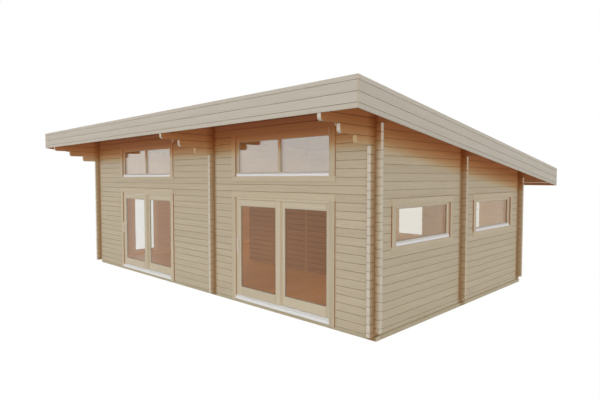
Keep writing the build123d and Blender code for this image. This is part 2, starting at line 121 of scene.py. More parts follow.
# Doors and windows
TRIM = 0.115
LOW_TRIM = 0.095
TRIM_LAP = 0.06
TRIM_PROUD = 0.022
TRIM_EASE = 0.0045
JOINT = 0.001
DOOR_TOP = 16.5 * COURSE
DOOR_LENGTH = 2.68
JAMB = TRIM - TRIM_LAP
HEAD_LOW = 2.051
FRAME_DEPTH = 0.1
FRAME_EASE = 0.002
HEAD_GAP = 0.0005
TRACKS = (0.02, 0.069)
TRACK_WIDTH = 0.007
TRACK_DEPTH = 0.006
STILE = 0.125
BOTTOM_RAIL = 0.172
TOP_RAIL = 0.122
LEAF_THICKNESS = 0.042
GLASS = 0.024
GASKET_GAP = 0.0006
GASKET_DEPTH = 0.0018
GASKET_LIP = 0.0026
SPACER_BACK = 0.005
SPACER_EDGES = (0.0005, 0.007)
WINDOW_BAR = 0.105
WINDOW_RECESS = 0.024
WINDOW_DEPTH = 0.046
TRANSOM_HEAD_BAR = 0.185
MULLION = 0.06
MULLION_PROUD = 0.014
SILL_OUT = 0.008
SILL_LIP = 0.042
SILL_RISE = 0.065
SILL_SPARE = 0.02
SILL_SHEET = 0.0018
HANDLE_POST_INSET = 0.038
HANDLE_ROSE = 0.008
HANDLE_NECK = 0.8

# Angle in degrees between faces over which an edge is shaded sharp
SHARP = 15
HANDLE_SHARP = 40

UP = np.array((0.0, 0.0, 1.0))
ALONG_X = np.array((1.0, 0.0, 0.0))
ALONG_Y = np.array((0.0, 1.0, 0.0))
DOWN_ROOF = np.array((0.0, 1.0, -SLOPE))


def soffit(y):
    """Height of the roof boards' underside at depth y."""
    return ROOF_HIGH.z - DECK - SLOPE * (y - ROOF_LOW.y)


# Shader building


class Wire:
    """A shader socket. Sums on wires add Math nodes, and node() adds a node of any other type."""

    def __init__(self, tree, socket=None):
        self.tree = tree
        self.socket = socket

    def node(self, kind, settings=None, inputs=None, output=0):
        """Add a node: its settings come first, then the values or wires of its sockets."""
        made = self.tree.nodes.new("ShaderNode" + kind)
        for key, value in (settings or {}).items():
            if key == "stops":
                ramp = made.color_ramp
                while len(ramp.elements) < len(value):
                    ramp.elements.new(0.5)
                for stop, (position, colour) in zip(ramp.elements, value):
                    stop.position = position
                    stop.color = (*colour, 1)
            else:
                setattr(made, key, value)
        for key, value in (inputs or {}).items():
            if isinstance(value, Wire):
                self.tree.links.new(value.socket, made.inputs[key])
            else:
                made.inputs[key].default_value = value
        return Wire(self.tree, made.outputs[output] if made.outputs else None)

    def other(self, output):
        """Another output of the same node."""
        return Wire(self.tree, self.socket.node.outputs[output])

    def math(self, operation, first, second=None):
        inputs = {0: first} if second is None else {0: first, 1: second}
        return self.node("Math", {"operation": operation}, inputs)

    def __add__(self, other):
        return self.math("ADD", self, other)

    def __radd__(self, other):
        return self.math("ADD", other, self)

    def __sub__(self, other):
        return self.math("SUBTRACT", self, other)

    def __rsub__(self, other):
        return self.math("SUBTRACT", other, self)

    def __mul__(self, other):
        return self.math("MULTIPLY", self, other)

    def __rmul__(self, other):
        return self.math("MULTIPLY", other, self)

    def __truediv__(self, other):
        return self.math("DIVIDE", self, other)

    def __rtruediv__(self, other):
        return self.math("DIVIDE", other, self)

    def __pow__(self, other):
        return self.math("POWER", self, other)

    def parts(self):
        """The three numbers of a vector."""
        first = self.node("SeparateXYZ", {}, {0: self})
        return first, first.other(1), first.other(2)

    def stretched(self, x, y, z):
        """A vector with each of its numbers multiplied."""
        return self.node("VectorMath", {"operation": "MULTIPLY"}, {0: self, 1: (x, y, z)})

    def noise(self, scale=1.0, detail=2.0, rough=0.5):
        """Noise from 0 to 1 at a place."""
        inputs = {"Vector": self, "Scale": scale, "Detail": detail, "Roughness": rough}
        return self.node("TexNoise", {}, inputs, "Fac")

    def smooth(self, low, high):
        """Smooth step: 0 at low, 1 at high."""
        inputs = {"Value": self, "From Min": low, "From Max": high}
        return self.node("MapRange", {"interpolation_type": "SMOOTHSTEP"}, inputs)

    def mix(self, first, second):
        """Two colours mixed, with this wire as the second one's share."""
        settings = {"data_type": "RGBA", "clamp_factor": True}
        inputs = {0: self, 6: as_colour(first), 7: as_colour(second)}
        return self.node("Mix", settings, inputs, 2)

    def brighter(self, amount):
        """A colour multiplied by a number."""
        return self.node("VectorMath", {"operation": "SCALE"}, {0: self, "Scale": amount})

    def times(self, colour):
        """A colour multiplied by a colour."""
        return self.node("VectorMath", {"operation": "MULTIPLY"}, {0: self, 1: colour})


def as_colour(value):
    """Sockets take a colour with its alpha."""
    return value if isinstance(value, Wire) else (*value, 1.0)


def srgb(red, green, blue):
    """A colour as seen on a screen, from 0 to 255, turned into the linear one that shaders use."""
    shares = (np.array((red, green, blue)) / 255 + 0.055) / 1.055
    return tuple(float(v) for v in shares**2.4)


def new_material(name):
    """An empty material and the wire that its nodes are made from."""
    made = bpy.data.materials.new(name)
    made.use_nodes = True
    made.node_tree.nodes.clear()
    return made, Wire(made.node_tree)


def finished(made, shader):
    """Send a shader to the material's surface."""
    shader.node("OutputMaterial", {}, {"Surface": shader})
    return made


def surface(height, strength, distance, inputs):
    """Shader with the inputs that are given and a normal shaped by a height."""
    shape = {"Height": height, "Strength": strength, "Distance": distance}
    normal = height.node("Bump", {}, shape, "Normal")
    return height.node("BsdfPrincipled", {}, {**inputs, "Normal": normal})


# Distance between year rings
RING = 0.0031

# Painted shade on the wood by its place: the ramp below gives the tint of painted shade and warm bounce light
# by the share of full daylight
PLAIN = (1, 1, 1)
SHADE_DEPTH = 0.7
SHADE_SPREAD = 0.25
FACE_BAND = 0.012
NOOK = 0.15
NOOK_DEPTH = 0.03
NOOK_REACH = 0.2
NOOK_SHADE = (0.6, 0.42, 0.26)
FASCIA_SKIN = (0.01, 0.014)
ROOM_DEPTH = (0.1, 0.6)
PAINTED_ROOM_SHADE = (0.74, 0.7, 0.66)
PAINTED_SHADE_RAMP = [
    (0.0, (0.53, 0.22, 0.12)),
    (0.35, (0.63, 0.29, 0.14)),
    (0.5, (0.76, 0.41, 0.21)),
    (0.64, (0.86, 0.55, 0.34)),
    (0.72, (0.91, 0.68, 0.47)),
    (0.79, (0.97, 0.84, 0.66)),
    (0.88, (1.0, 0.97, 0.91)),
    (1.0, (1.0, 1.0, 1.0)),
]


def nearest(w, place, faces):
    """Distance from a place to the middle of the nearest crossing wall."""
    distances = [w.math("ABSOLUTE", place - (face + LOG / 2)) for face in faces]
    closest = distances[0]
    for distance in distances[1:]:
        closest = w.math("MINIMUM", closest, distance)
    return closest


def painted_shade(w, colour, recess):
    """Painted shade and warm bounce light: the wood's colour is made deeper and warmer close under the roof
    boards, in the rooms, in the nooks beside crossing logs, and behind the wall's face (recess: from, to,
    amount)."""
    x, y, z = w.node("TexCoord", {}, {}, "Object").parts()
    beyond_x = w.math("MAXIMUM", WALL_LEFT - x, x - WALL_RIGHT)
    beyond_y = w.math("MAXIMUM", WALL_FRONT - y, y - WALL_REAR)
    beyond = w.math("MAXIMUM", beyond_x, beyond_y)
    behind = 0 - beyond
    out = w.math("MAXIMUM", beyond, 0.0)
    under_roof = (soffit(y) - z) / (SHADE_DEPTH + SHADE_SPREAD * out)
    recessed = 1 - behind.smooth(recess[0], recess[1]) * recess[2]
    front_or_rear = w.math("GREATER_THAN", beyond_y, -FACE_BAND)
    beside = front_or_rear * nearest(w, x, LENGTHWISE) + (1 - front_or_rear) * nearest(w, y, CROSSWISE)
    nook_shade_share = (1 - beside.smooth(LOG / 2, NOOK)) * (1 - behind.smooth(0.0, NOOK_DEPTH))
    nook_shade_share = nook_shade_share * w.math("MAXIMUM", 1 - out / NOOK_REACH, 0.0)
    left_right = w.math("MINIMUM", x - EAVES_LOW.x, EAVES_HIGH.x - x)
    front_rear = w.math("MINIMUM", y - EAVES_LOW.y, EAVES_HIGH.y - y)
    in_the_open = 1 - w.math("MINIMUM", left_right, front_rear).smooth(*FASCIA_SKIN)
    daylight = w.math("MAXIMUM", w.math("MINIMUM", under_roof, recessed), in_the_open)
    shade_tint = w.node("ValToRGB", {"stops": PAINTED_SHADE_RAMP}, {0: daylight})
    room_shade_tint = behind.smooth(*ROOM_DEPTH).mix(PLAIN, PAINTED_ROOM_SHADE)
    return colour.times(shade_tint.times(nook_shade_share.mix(room_shade_tint, NOOK_SHADE)))


NO_RECESS = (0.0, 1.0, 0.0)


def timber(
    name, pale, deep, late, knot, rings=0.3, streaks=1.0, knots=0.5, rough=0.58, tones=0.08, recess=NO_RECESS
):
    """Planed softwood: year rings about the heart, streaks, fibres, branch knots, each board's tone, and
    painted shade by its place.
    """
    made, w = new_material(name)
    place = w.node("Attribute", {"attribute_name": "grain"}, {}, "Vector")
    tone = w.node("Attribute", {"attribute_name": "tone"}, {}, "Fac")
    along, across, up = place.parts()

    angle = w.math("ARCTAN2", up, across)
    branch = w.node("CombineXYZ", {}, {0: along * 3.4, 1: angle * 0.3, 2: 0.0})
    inputs = {"Vector": branch, "Randomness": 0.9}
    cell = w.node("TexVoronoi", {"voronoi_dimensions": "2D"}, inputs, "Distance")
    pick, pick_again, _ = cell.other("Color").parts()
    size = w.math("MAXIMUM", pick - 0.45, 0.0) * 0.075 + 0.001
    reach = cell / size
    knot_mask = (1 - reach.smooth(0.75, 1.05)) * (0.5 + pick_again * 0.5)
    swirl = 1 - reach.smooth(0.8, 3.2)

    wander = place.stretched(0.8, 5, 5).noise(1.0, 2.0)
    radius = (across * across + up * up) ** 0.5 + (wander - 0.5) * 0.05 + swirl * 0.008
    turn = w.math("FRACT", radius / RING)
    latewood = turn.smooth(0.25, 0.9) * (1 - turn.smooth(0.93, 1.0))

    streak = place.stretched(1.3, 46, 46).noise(1.0, 4.0, 0.6)
    broad = place.stretched(0.45, 8, 8).noise(1.0, 2.0)
    fibre = place.stretched(16, 820, 820).noise(1.0, 3.0, 0.6)
    share = 0.5 + (streak - 0.5) * (1.5 * streaks) + (broad - 0.5) * (0.8 * streaks) + (fibre - 0.5) * 0.25
    colour = share.mix(pale, deep)
    colour = (latewood * rings).mix(colour, late)
    colour = (swirl * 0.35 * knots).mix(colour, late)
    colour = (knot_mask * knots).mix(colour, knot)
    # Painted shade and warm bounce light by the piece's place
    colour = painted_shade(w, colour.brighter(1 - tones / 2 + tone * tones), recess)

    height = fibre * 0.5 + latewood * 0.35 - knot_mask * 0.3
    roughness = rough + (fibre - 0.5) * 0.16 - latewood * 0.07
    inputs = {"Base Color": colour, "Roughness": roughness, "Specular IOR Level": 0.35}
    return finished(made, surface(height, 0.35, 0.0006, inputs))


# Painted shade on end grain inside the cabin and on that of the lowest corbels, by the depth behind the front
# wall's face
INDOORS = (0.5, 2.5)
INDOOR_SHADE = (0.63, 0.39, 0.22)
INDOOR_SEAL_SHADE = 0.6
TUCKED_FROM = (-0.75, -0.5)
TUCKED_TO = (-0.4, -0.2)
TUCKED_SHADE = (0.88, 0.7, 0.48)
EDGE_BAND = 0.02


def end_grain(name, pale, deep, seal, sealed):
    """Sawn end of a log: rings about the heart, fine drying checks that run out from it, a brushed sealer,
    and painted shade inside the cabin and on the lowest corbels.
    """
    made, w = new_material(name)
    place = w.node("Attribute", {"attribute_name": "grain"}, {}, "Vector")
    tone = w.node("Attribute", {"attribute_name": "tone"}, {}, "Fac")
    _, across, up = place.parts()
    wander = place.stretched(0.8, 12, 12).noise(1.0, 2.0)
    radius = (across * across + up * up) ** 0.5 + (wander - 0.5) * 0.012
    turn = w.math("FRACT", radius / RING)
    latewood = turn.smooth(0.3, 0.9) * (1 - turn.smooth(0.94, 1.0))
    pores = place.stretched(60, 900, 900).noise(1.0, 2.0, 0.6)

    angle = w.math("ARCTAN2", up, across)
    spoke = w.math("FRACT", angle * 1.3 + tone * 7 + (radius * 30))
    reach = radius.smooth(0.01, 0.03) * (1 - radius.smooth(0.05, 0.075))
    check = (1 - w.math("ABSOLUTE", spoke - 0.5).smooth(0.0, 0.016)) * reach * (tone.smooth(0.35, 0.6))

    brush = place.stretched(10, 30, 140).noise(1.0, 3.0, 0.6)
    x, y, _ = w.node("TexCoord", {}, {}, "Object").parts()
    depth = y - WALL_FRONT
    between_sides = w.math("MINIMUM", x - WALL_LEFT, WALL_RIGHT - x).smooth(0.0, EDGE_BAND)
    far_in = depth.smooth(*INDOORS)
    indoors = far_in * (WALL_REAR - y).smooth(0.0, EDGE_BAND) * between_sides
    tucked_in = depth.smooth(*TUCKED_FROM) * (1 - depth.smooth(*TUCKED_TO))
    colour = (latewood * 0.55 + (pores - 0.5) * 0.3).mix(pale, deep)
    # Indoors the pale sealer's share is cut, which darkens the end grain as painted shade
    colour = (sealed * (1 - far_in * INDOOR_SEAL_SHADE) + (brush - 0.5) * 0.7).mix(colour, seal)
    colour = (check * 0.6).mix(colour, deep)
    colour = colour.brighter(0.95 + tone * 0.08)
    # Painted shade: darker end grain indoors and on the lowest corbels
    colour = colour.times(indoors.mix(tucked_in.mix(PLAIN, TUCKED_SHADE), INDOOR_SHADE))
    height = pores * 0.4 - latewood * 0.25 - check
    inputs = {"Base Color": colour, "Roughness": 0.66 + (brush - 0.5) * 0.2, "Specular IOR Level": 0.3}
    return finished(made, surface(height, 0.4, 0.0008, inputs))


def coated_metal(name, colour, dust, rough=0.34, metal=0.0):
    """Sheet with a factory coat: a faint orange peel, soft scuffs and a little dust in its lower tones."""
    made, w = new_material(name)
    place = w.node("TexCoord", {}, {}, "Object")
    peel = place.stretched(260, 260, 260).noise(1.0, 2.0)
    cloud = place.stretched(4, 4, 9).noise(1.0, 4.0, 0.6)
    scuff = place.stretched(3, 60, 60).noise(1.0, 3.0, 0.7)
    inputs = {
        "Base Color": (cloud.smooth(0.45, 0.8) * 0.35).mix(colour, dust),
        "Roughness": rough + (scuff - 0.5) * 0.22 + (cloud - 0.5) * 0.1,
        "Metallic": metal,
    }
    return finished(made, surface(peel, 0.12, 0.0004, inputs))


def seal_rubber(name):
    """Brown glazing gasket with a matt, slightly dusty skin."""
    made, w = new_material(name)
    place = w.node("TexCoord", {}, {}, "Object")
    grit = place.stretched(500, 500, 500).noise(1.0, 3.0)
    dust = place.stretched(9, 9, 9).noise(1.0, 3.0)
    colour = (dust.smooth(0.4, 0.8) * 0.4).mix(srgb(98, 82, 64), srgb(122, 106, 86))
    inputs = {"Base Color": colour, "Roughness": 0.62 + (grit - 0.5) * 0.2}
    return finished(made, surface(grit, 0.2, 0.0004, inputs))


def roofing(name):
    """Mineral roofing sheet: coloured granules, bare specks between them, and streaks where water runs."""
    made, w = new_material(name)
    place = w.node("TexCoord", {}, {}, "Object")
    granule = w.node("TexVoronoi", {}, {"Vector": place, "Scale": 420.0, "Randomness": 1.0}, "Distance")
    shade, _, _ = granule.other("Color").parts()
    run = place.stretched(7, 0.7, 0.7).noise(1.0, 4.0, 0.6)
    cloud = place.stretched(1.3, 1.3, 1.3).noise(1.0, 3.0)
    colour = shade.mix(srgb(58, 58, 60), srgb(104, 102, 100))
    colour = (run.smooth(0.45, 0.75) * 0.5).mix(colour, srgb(82, 80, 76))
    colour = (cloud.smooth(0.4, 0.7) * 0.3).mix(colour, srgb(48, 49, 52))
    height = 1 - granule * 300
    inputs = {"Base Color": colour, "Roughness": 0.85 + (shade - 0.5) * 0.2, "Specular IOR Level": 0.3}
    return finished(made, surface(height, 0.5, 0.001, inputs))


def window_glass(name, clear, shine, base):
    """Clear sealed glass: it lets the light through, and mirrors more the flatter it is looked along."""
    made, w = new_material(name)
    place = w.node("TexCoord", {}, {}, "Object")
    wave = place.stretched(1.6, 1.6, 1.6).noise(1.0, 2.0)
    smear = place.stretched(5, 5, 2).noise(1.0, 4.0, 0.6)
    facing = w.node("LayerWeight", {}, {"Blend": 0.5}, "Facing")
    through = w.node("BsdfTransparent", {}, {"Color": (*clear, 1)})
    colour = (smear.smooth(0.4, 0.8) * 0.3).mix(shine, srgb(222, 220, 214))
    inputs = {"Base Color": colour, "Metallic": 1.0, "Roughness": 0.015 + smear * 0.02}
    mirror = surface(wave, 0.02, 0.002, inputs)
    mirrored = base + (1 - base) * facing**4
    shader = w.node("MixShader", {}, {0: mirrored, 1: through, 2: mirror})
    return finished(made, shader)


# Finishes of the cabin
PALE = srgb(191, 180, 159)
DEEP = srgb(175, 163, 140)
LATE = srgb(158, 136, 102)
KNOT = srgb(128, 90, 56)
# Wall logs: the recess values paint shade on log faces more than 45 mm behind the outer face, in the rooms
# and reveals
wall_timber = timber(
    "wall_timber", PALE, DEEP, LATE, KNOT, rings=0.25, knots=0.35, tones=0.05, recess=(0.045, 0.06, 0.42)
)
# Roof boards: their warmer base colour is in part painted warm shade of the eaves, on top of the painted
# shade every timber gets by its place
shade_timber = timber(
    "roof_board_timber", srgb(198, 182, 152), srgb(182, 162, 128), LATE, KNOT, rings=0.3, knots=0.5
)
fascia_timber = timber(
    "fascia_timber",
    srgb(191, 185, 174),
    srgb(179, 172, 159),
    srgb(165, 150, 129),
    srgb(138, 110, 80),
    rings=0.25,
    knots=0.3,
)
# Trim boards: the recess values paint shade on their side faces close to the wall
trim_timber = timber(
    "trim_timber",
    srgb(194, 183, 161),
    srgb(180, 167, 143),
    LATE,
    KNOT,
    rings=0.25,
    knots=0.25,
    recess=(-0.0215, -0.0165, 1.0),
)
JOINERY = (srgb(196, 186, 165), srgb(184, 172, 149), srgb(166, 146, 114), KNOT, 0.25, 0.7, 0.0, 0.42)
joinery_timber = timber("joinery_timber", *JOINERY)
# Casements: the recess values paint shade on them deep in the window openings
casement_timber = timber("casement_timber", *JOINERY, recess=(0.026, 0.04, 0.35))
floor_timber = timber(
    "floor_timber", srgb(236, 182, 118), srgb(216, 156, 92), srgb(184, 122, 66), KNOT, rings=0.4, rough=0.4
)
foundation_timber = timber(
    "foundation_timber", srgb(182, 174, 152), srgb(162, 151, 125), srgb(144, 126, 94), KNOT, rough=0.7
)
log_end_grain = end_grain("log_end_grain", srgb(196, 182, 156), srgb(158, 128, 90), srgb(202, 197, 186), 0.7)
board_end_grain = end_grain(
    "board_end_grain", srgb(192, 177, 149), srgb(152, 122, 86), srgb(194, 185, 167), 0.3
)
white_metal = coated_metal("white_metal", srgb(220, 221, 221), srgb(200, 198, 192))
handle_metal = coated_metal("handle_metal", srgb(206, 203, 195), srgb(180, 175, 165), 0.28, 0.2)
spacer_metal = coated_metal("spacer_metal", srgb(150, 142, 130), srgb(132, 124, 112), 0.5, 0.3)
gasket = seal_rubber("glazing_gasket")
roof_sheet = roofing("roofing_sheet")
high_glass = window_glass("high_window_glass", (0.95, 0.96, 0.94), srgb(244, 239, 231), 0.315)
low_glass = window_glass("low_window_glass", (0.995, 0.995, 0.985), srgb(250, 244, 224), 0.13)
clear_glass = window_glass("sealed_glass", (0.99, 0.995, 0.99), srgb(250, 250, 246), 0.028)
LOG_LOOKS = [wall_timber, log_end_grain]
TRIM_LOOKS = [trim_timber, board_end_grain]
JOINERY_LOOKS = [joinery_timber, board_end_grain]


# Boards and logs


class Timbers:
    """Boards gathered into one mesh. Each point also keeps its place in its tree and its board's tone."""

    def __init__(self, seed):
        self.random = np.random.default_rng(seed)
        self.points = []
        self.grain = []
        self.tone = []
        self.faces = []
        self.kinds = []
        self.total = 0

    def tree(self):
        """Where a board was cut: how far up the tree, where the heart lies in its section, and its tone."""
        up_tree, heart_u, heart_v, tone = self.random.random(4)
        heart = HEART_U[0] + heart_u * HEART_U[1], HEART_V[0] + heart_v * HEART_V[1]
        return up_tree * TREE_RANGE, *heart, tone

    def board(self, section, run, origin, across, along, up=UP, tree=None, eased=(0, 0), roof=False):
        """Carry a section (u, v) from run[0] to run[1] along a line; `eased` shrinks an end over that length,
        and `roof` trims the board to the roof boards' underside."""
        tree = tree or self.tree()
        section = np.asarray(section, float)
        u, v = section[:, 0], section[:, 1]
        places = [run[0]]
        if eased[0]:
            places.append(run[0] + eased[0])
        if roof and along[1]:
            meeting_y = ROOF_LOW.y + (ROOF_HIGH.z - DECK - origin[2] - np.unique(v)) / SLOPE
            crossings = (meeting_y - origin[1]) / along[1]
            places += [place for place in crossings if run[0] + SAME < place < run[1] - SAME]
        if eased[1]:
            places.append(run[1] - eased[1])
        places.append(run[1])
        places = np.sort(np.array(places))
        count = len(places)
        narrow = np.ones(count)
        shrink = 1 - 2 * np.array(eased) / np.ptp(u)
        narrow[0], narrow[-1] = shrink
        middle = (section.min(0) + section.max(0)) / 2
        s = np.repeat(places[:, None], len(u), 1)
        uu = middle[0] + narrow[:, None] * (u - middle[0])[None, :]
        inset = np.array([eased[0], *[0] * (count - 2), eased[1]])
        rise = 1 - 2 * inset / np.ptp(v)
        vv = middle[1] + rise[:, None] * (v - middle[1])[None, :]
        spots = (
            np.asarray(origin, float)
            + s[..., None] * np.asarray(along, float)
            + uu[..., None] * np.asarray(across, float)
            + vv[..., None] * np.asarray(up, float)
        )
        if roof:
            cut = np.minimum(spots[..., 2], soffit(spots[..., 1]) - UNDER_ROOF_GAP)
            vv = vv + cut - spots[..., 2]
            spots[..., 2] = cut
        grain = np.stack([s + tree[0], uu - tree[1], vv - tree[2]], -1)
        outward = np.dot(np.cross(across, up), along) > 0
        self.tube(spots, grain, tree[3], outward)

    def tube(self, spots, grain, tone, outward):
        """Closed shape from rings of points: quads between the rings and a face on each end."""
        rows, columns = spots.shape[:2]
        number = self.total + np.arange(rows * columns).reshape(rows, columns)
        a, b = number[:-1], number[1:]
        quads = np.stack([a, np.roll(a, -1, 1), np.roll(b, -1, 1), b], -1).reshape(-1, 4)
        first, last = number[0][::-1], number[-1]
        if not outward:
            quads, first, last = quads[:, ::-1], first[::-1], last[::-1]
        self.faces += quads.tolist() + [first.tolist(), last.tolist()]
        self.kinds += [0] * len(quads) + [1, 1]
        self.keep(spots.reshape(-1, 3), grain.reshape(-1, 3), tone)

    def rounded(self, spots, grain, tone, half):
        """Closed shape whose two ends are strips between matching points of its left and right sides."""
        rows, columns = spots.shape[:2]
        number = self.total + np.arange(rows * columns).reshape(rows, columns)
        a, b = number[:-1], number[1:]
        quads = np.stack([a, np.roll(a, -1, 1), np.roll(b, -1, 1), b], -1).reshape(-1, 4)
        front = number[0]
        strip = np.stack([front[: half - 1], front[1:half], front[::-1][1:half], front[::-1][: half - 1]], -1)
        back = number[-1]
        other = np.stack([back[: half - 1], back[::-1][: half - 1], back[::-1][1:half], back[1:half]], -1)
        self.faces += quads.tolist() + strip[:, ::-1].tolist() + other[:, ::-1].tolist()
        self.kinds += [0] * len(quads) + [1] * (2 * len(strip))
        self.keep(spots.reshape(-1, 3), grain.reshape(-1, 3), tone)

    def band(self, spots, grain, tone):
        """Quads between rings of points, joined round in both directions."""
        rows, columns = spots.shape[:2]
        number = self.total + np.arange(rows * columns).reshape(rows, columns)
        number = np.concatenate([number, number[:1]])
        number = np.concatenate([number, number[:, :1]], 1)
        quads = [number[:-1, :-1], number[:-1, 1:], number[1:, 1:], number[1:, :-1]]
        quads = np.stack(quads, -1).reshape(-1, 4)
        self.faces += quads.tolist()
        self.kinds += [0] * len(quads)
        self.keep(spots.reshape(-1, 3), grain.reshape(-1, 3), tone)

    def keep(self, spots, grain, tone):
        """Add points, with their places in the tree and their board's tone."""
        self.points.append(spots)
        self.grain.append(grain)
        self.tone.append(np.full(len(spots), tone))
        self.total += len(spots)

    def finish(self, name, materials, slot, nodes=(), body="root", sharp=SHARP):
        """Make the object, and hide the CAD nodes that it stands for."""
        mesh = bpy.data.meshes.new(name)
        mesh.from_pydata(np.concatenate(self.points).tolist(), [], self.faces)
        grain = mesh.attributes.new("grain", "FLOAT_VECTOR", "POINT")
        grain.data.foreach_set("vector", np.concatenate(self.grain).astype(np.float32).ravel())
        tone = mesh.attributes.new("tone", "FLOAT", "POINT")
        tone.data.foreach_set("value", np.concatenate(self.tone).astype(np.float32))
        for each in materials:
            mesh.materials.append(each)
        kinds = np.minimum(np.array(self.kinds, np.int32), len(materials) - 1)
        mesh.polygons.foreach_set("material_index", kinds)
        mesh.polygons.foreach_set("use_smooth", np.ones(len(kinds), bool))
        mesh.set_sharp_from_angle(angle=math.radians(sharp))
        mesh.validate()
        piece = bpy.data.objects.new(name, mesh)
        bpy.context.scene.collection.objects.link(piece)
        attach(piece, body)
        if nodes:
            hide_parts(*nodes)
        return piece


def log_section(height, low_joint, high_joint):
    """Section of a wall log: V edges at its joints with eased corners, a groove below and a tongue above."""
    low = list(V_EDGE) if low_joint else [(0, 0)]
    high = [(u, height - v) for u, v in V_EDGE][::-1] if high_joint else [(0, height)]
    side = (LOG - TONGUE) / 2
    if high_joint:
        high = [(side, height + TONGUE_RISE), (side, height - LOG_GAP)] + high
    if low_joint:
        low += [(side - TONGUE_PLAY, LOG_GAP), (side - TONGUE_PLAY, TONGUE_RISE + LOG_GAP)]
    half = high + low
    return half + [(LOG - u, v) for u, v in half[::-1]]


def eased_section(width, thickness, ease=EASE, gap=0.0):
    """Rectangle (width by thickness) with rounded corners, a little narrower where boards stand in a row."""
    turn = np.radians([180, 210, 240, 270])
    left, right = gap / 2 + ease, width - gap / 2 - ease
    low, high = ease, thickness - ease
    rings = []
    for x, y, start in ((left, low, 0), (right, low, 90), (right, high, 180), (left, high, 270)):
        angle = turn + math.radians(start)
        rings.append(np.stack([x + ease * np.cos(angle), y + ease * np.sin(angle)], -1))
    return np.concatenate(rings)


def free_pieces(run, low, high, holes):
    """Split one course into the stretches that holes (start, stop, low, high) leave of it."""
    edges = {run[0], run[1]}
    for start, stop, bottom, top in holes:
        if bottom < high and top > low:
            edges |= {min(max(start, run[0]), run[1]), min(max(stop, run[0]), run[1])}
    edges = sorted(edges)
    found = []
    for start, stop in zip(edges[:-1], edges[1:]):
        spans = [(low, high)]
        middle = (start + stop) / 2
        for hole_start, hole_stop, bottom, top in holes:
            if hole_start < middle < hole_stop:
                spans = [
                    part
                    for span in spans
                    for part in ((span[0], min(span[1], bottom)), (max(span[0], top), span[1]))
                    if part[1] - part[0] > LEAST_PIECE
                ]
        found += [(start, stop, bottom, top) for bottom, top in spans if stop - start > SAME]
    return found


def log_wall(timbers, runs, face, along, joint, low, high, holes=(), eased=(0, 0), roof=False):
    """Stack of logs along X or Y with one side at `face`, cut where the wall has an opening. Its lowest log
    joint is at the height `joint`, at or under `low`."""
    across = ALONG_Y if along is ALONG_X else ALONG_X
    while joint < high - LEAST_COURSE:
        tree = timbers.tree()
        bottom, top = max(joint, low), min(joint + COURSE, high)
        for run in runs:
            stop = run[1]
            if roof and along is ALONG_Y:
                stop = min(stop, ROOF_LOW.y + (ROOF_HIGH.z - DECK - bottom - THIN_EDGE) / SLOPE)
            if top - bottom < LEAST_COURSE or stop <= run[0] + LEAST_LOG:
                continue
            for start, end, under, over in free_pieces((run[0], stop), bottom, top, holes):
                low_joint = abs(under - joint) < SAME
                high_joint = abs(over - joint - COURSE) < SAME
                section = log_section(over - under, low_joint, high_joint)
                origin = face * across + under * UP
                ends = (eased[0] if start == run[0] else 0, eased[1] if end == run[1] else 0)
                shifted = (tree[0], tree[1], tree[2] - (under - joint), tree[3])
                timbers.board(section, (start, end), origin, across, along, UP, shifted, ends, roof)
        joint += COURSE


# Openings and partitions, in places worked out from the walls. BELOW is a height under every log
BELOW = -1.0
DOOR_STARTS = (WALL_LEFT + 1.488, WALL_LEFT + 6.406)
DOOR_HOLES = [(start + TRIM_LAP, start + DOOR_LENGTH - TRIM_LAP) for start in DOOR_STARTS]
TRANSOM = (2.405, 3.410)
SIDE_WINDOW = (1.286, 16 * COURSE)
TALL_WINDOW = (SILL_TOP, 16 * COURSE)
REAR_WINDOW = (0.737, 16.5 * COURSE)
RIGHT_RUNS = [(WALL_FRONT + 0.445, WALL_FRONT + 2.485), (WALL_FRONT + 3.355, WALL_FRONT + 5.395)]
TALL_RUN = (WALL_FRONT + 0.921, WALL_FRONT + 1.881)
BAYS = [(WALL_LEFT + LOG, MIDDLE_LEFT), (MIDDLE_LEFT + LOG, WALL_RIGHT - LOG)]
PURLIN_LOWS = (24.5 * COURSE, 21.5 * COURSE, 18.5 * COURSE)
CORBEL_LOW = 22 * COURSE
CORBEL_REACHES = (0.445, 0.810, 1.206)
CORBEL_COURSES = 6
CORBEL_ROUND = 0.06
CORBEL_TURN = np.radians(np.linspace(28, 90, 8))
OPEN_WAY_TOP = 16 * COURSE
DOORWAY_TOP = 15.5 * COURSE
DOORWAYS = [(WALL_LEFT + 2.640, WALL_LEFT + 3.490), (WALL_LEFT + 8.170, WALL_LEFT + 9.020)]
STUB_END = WALL_FRONT + 0.65


def hole(run, rise):
    """Hole in the logs behind the trim boards of an opening."""
    return (run[0] + TRIM_LAP, run[1] - TRIM_LAP, rise[0] + TRIM_LAP, rise[1] - TRIM_LAP)


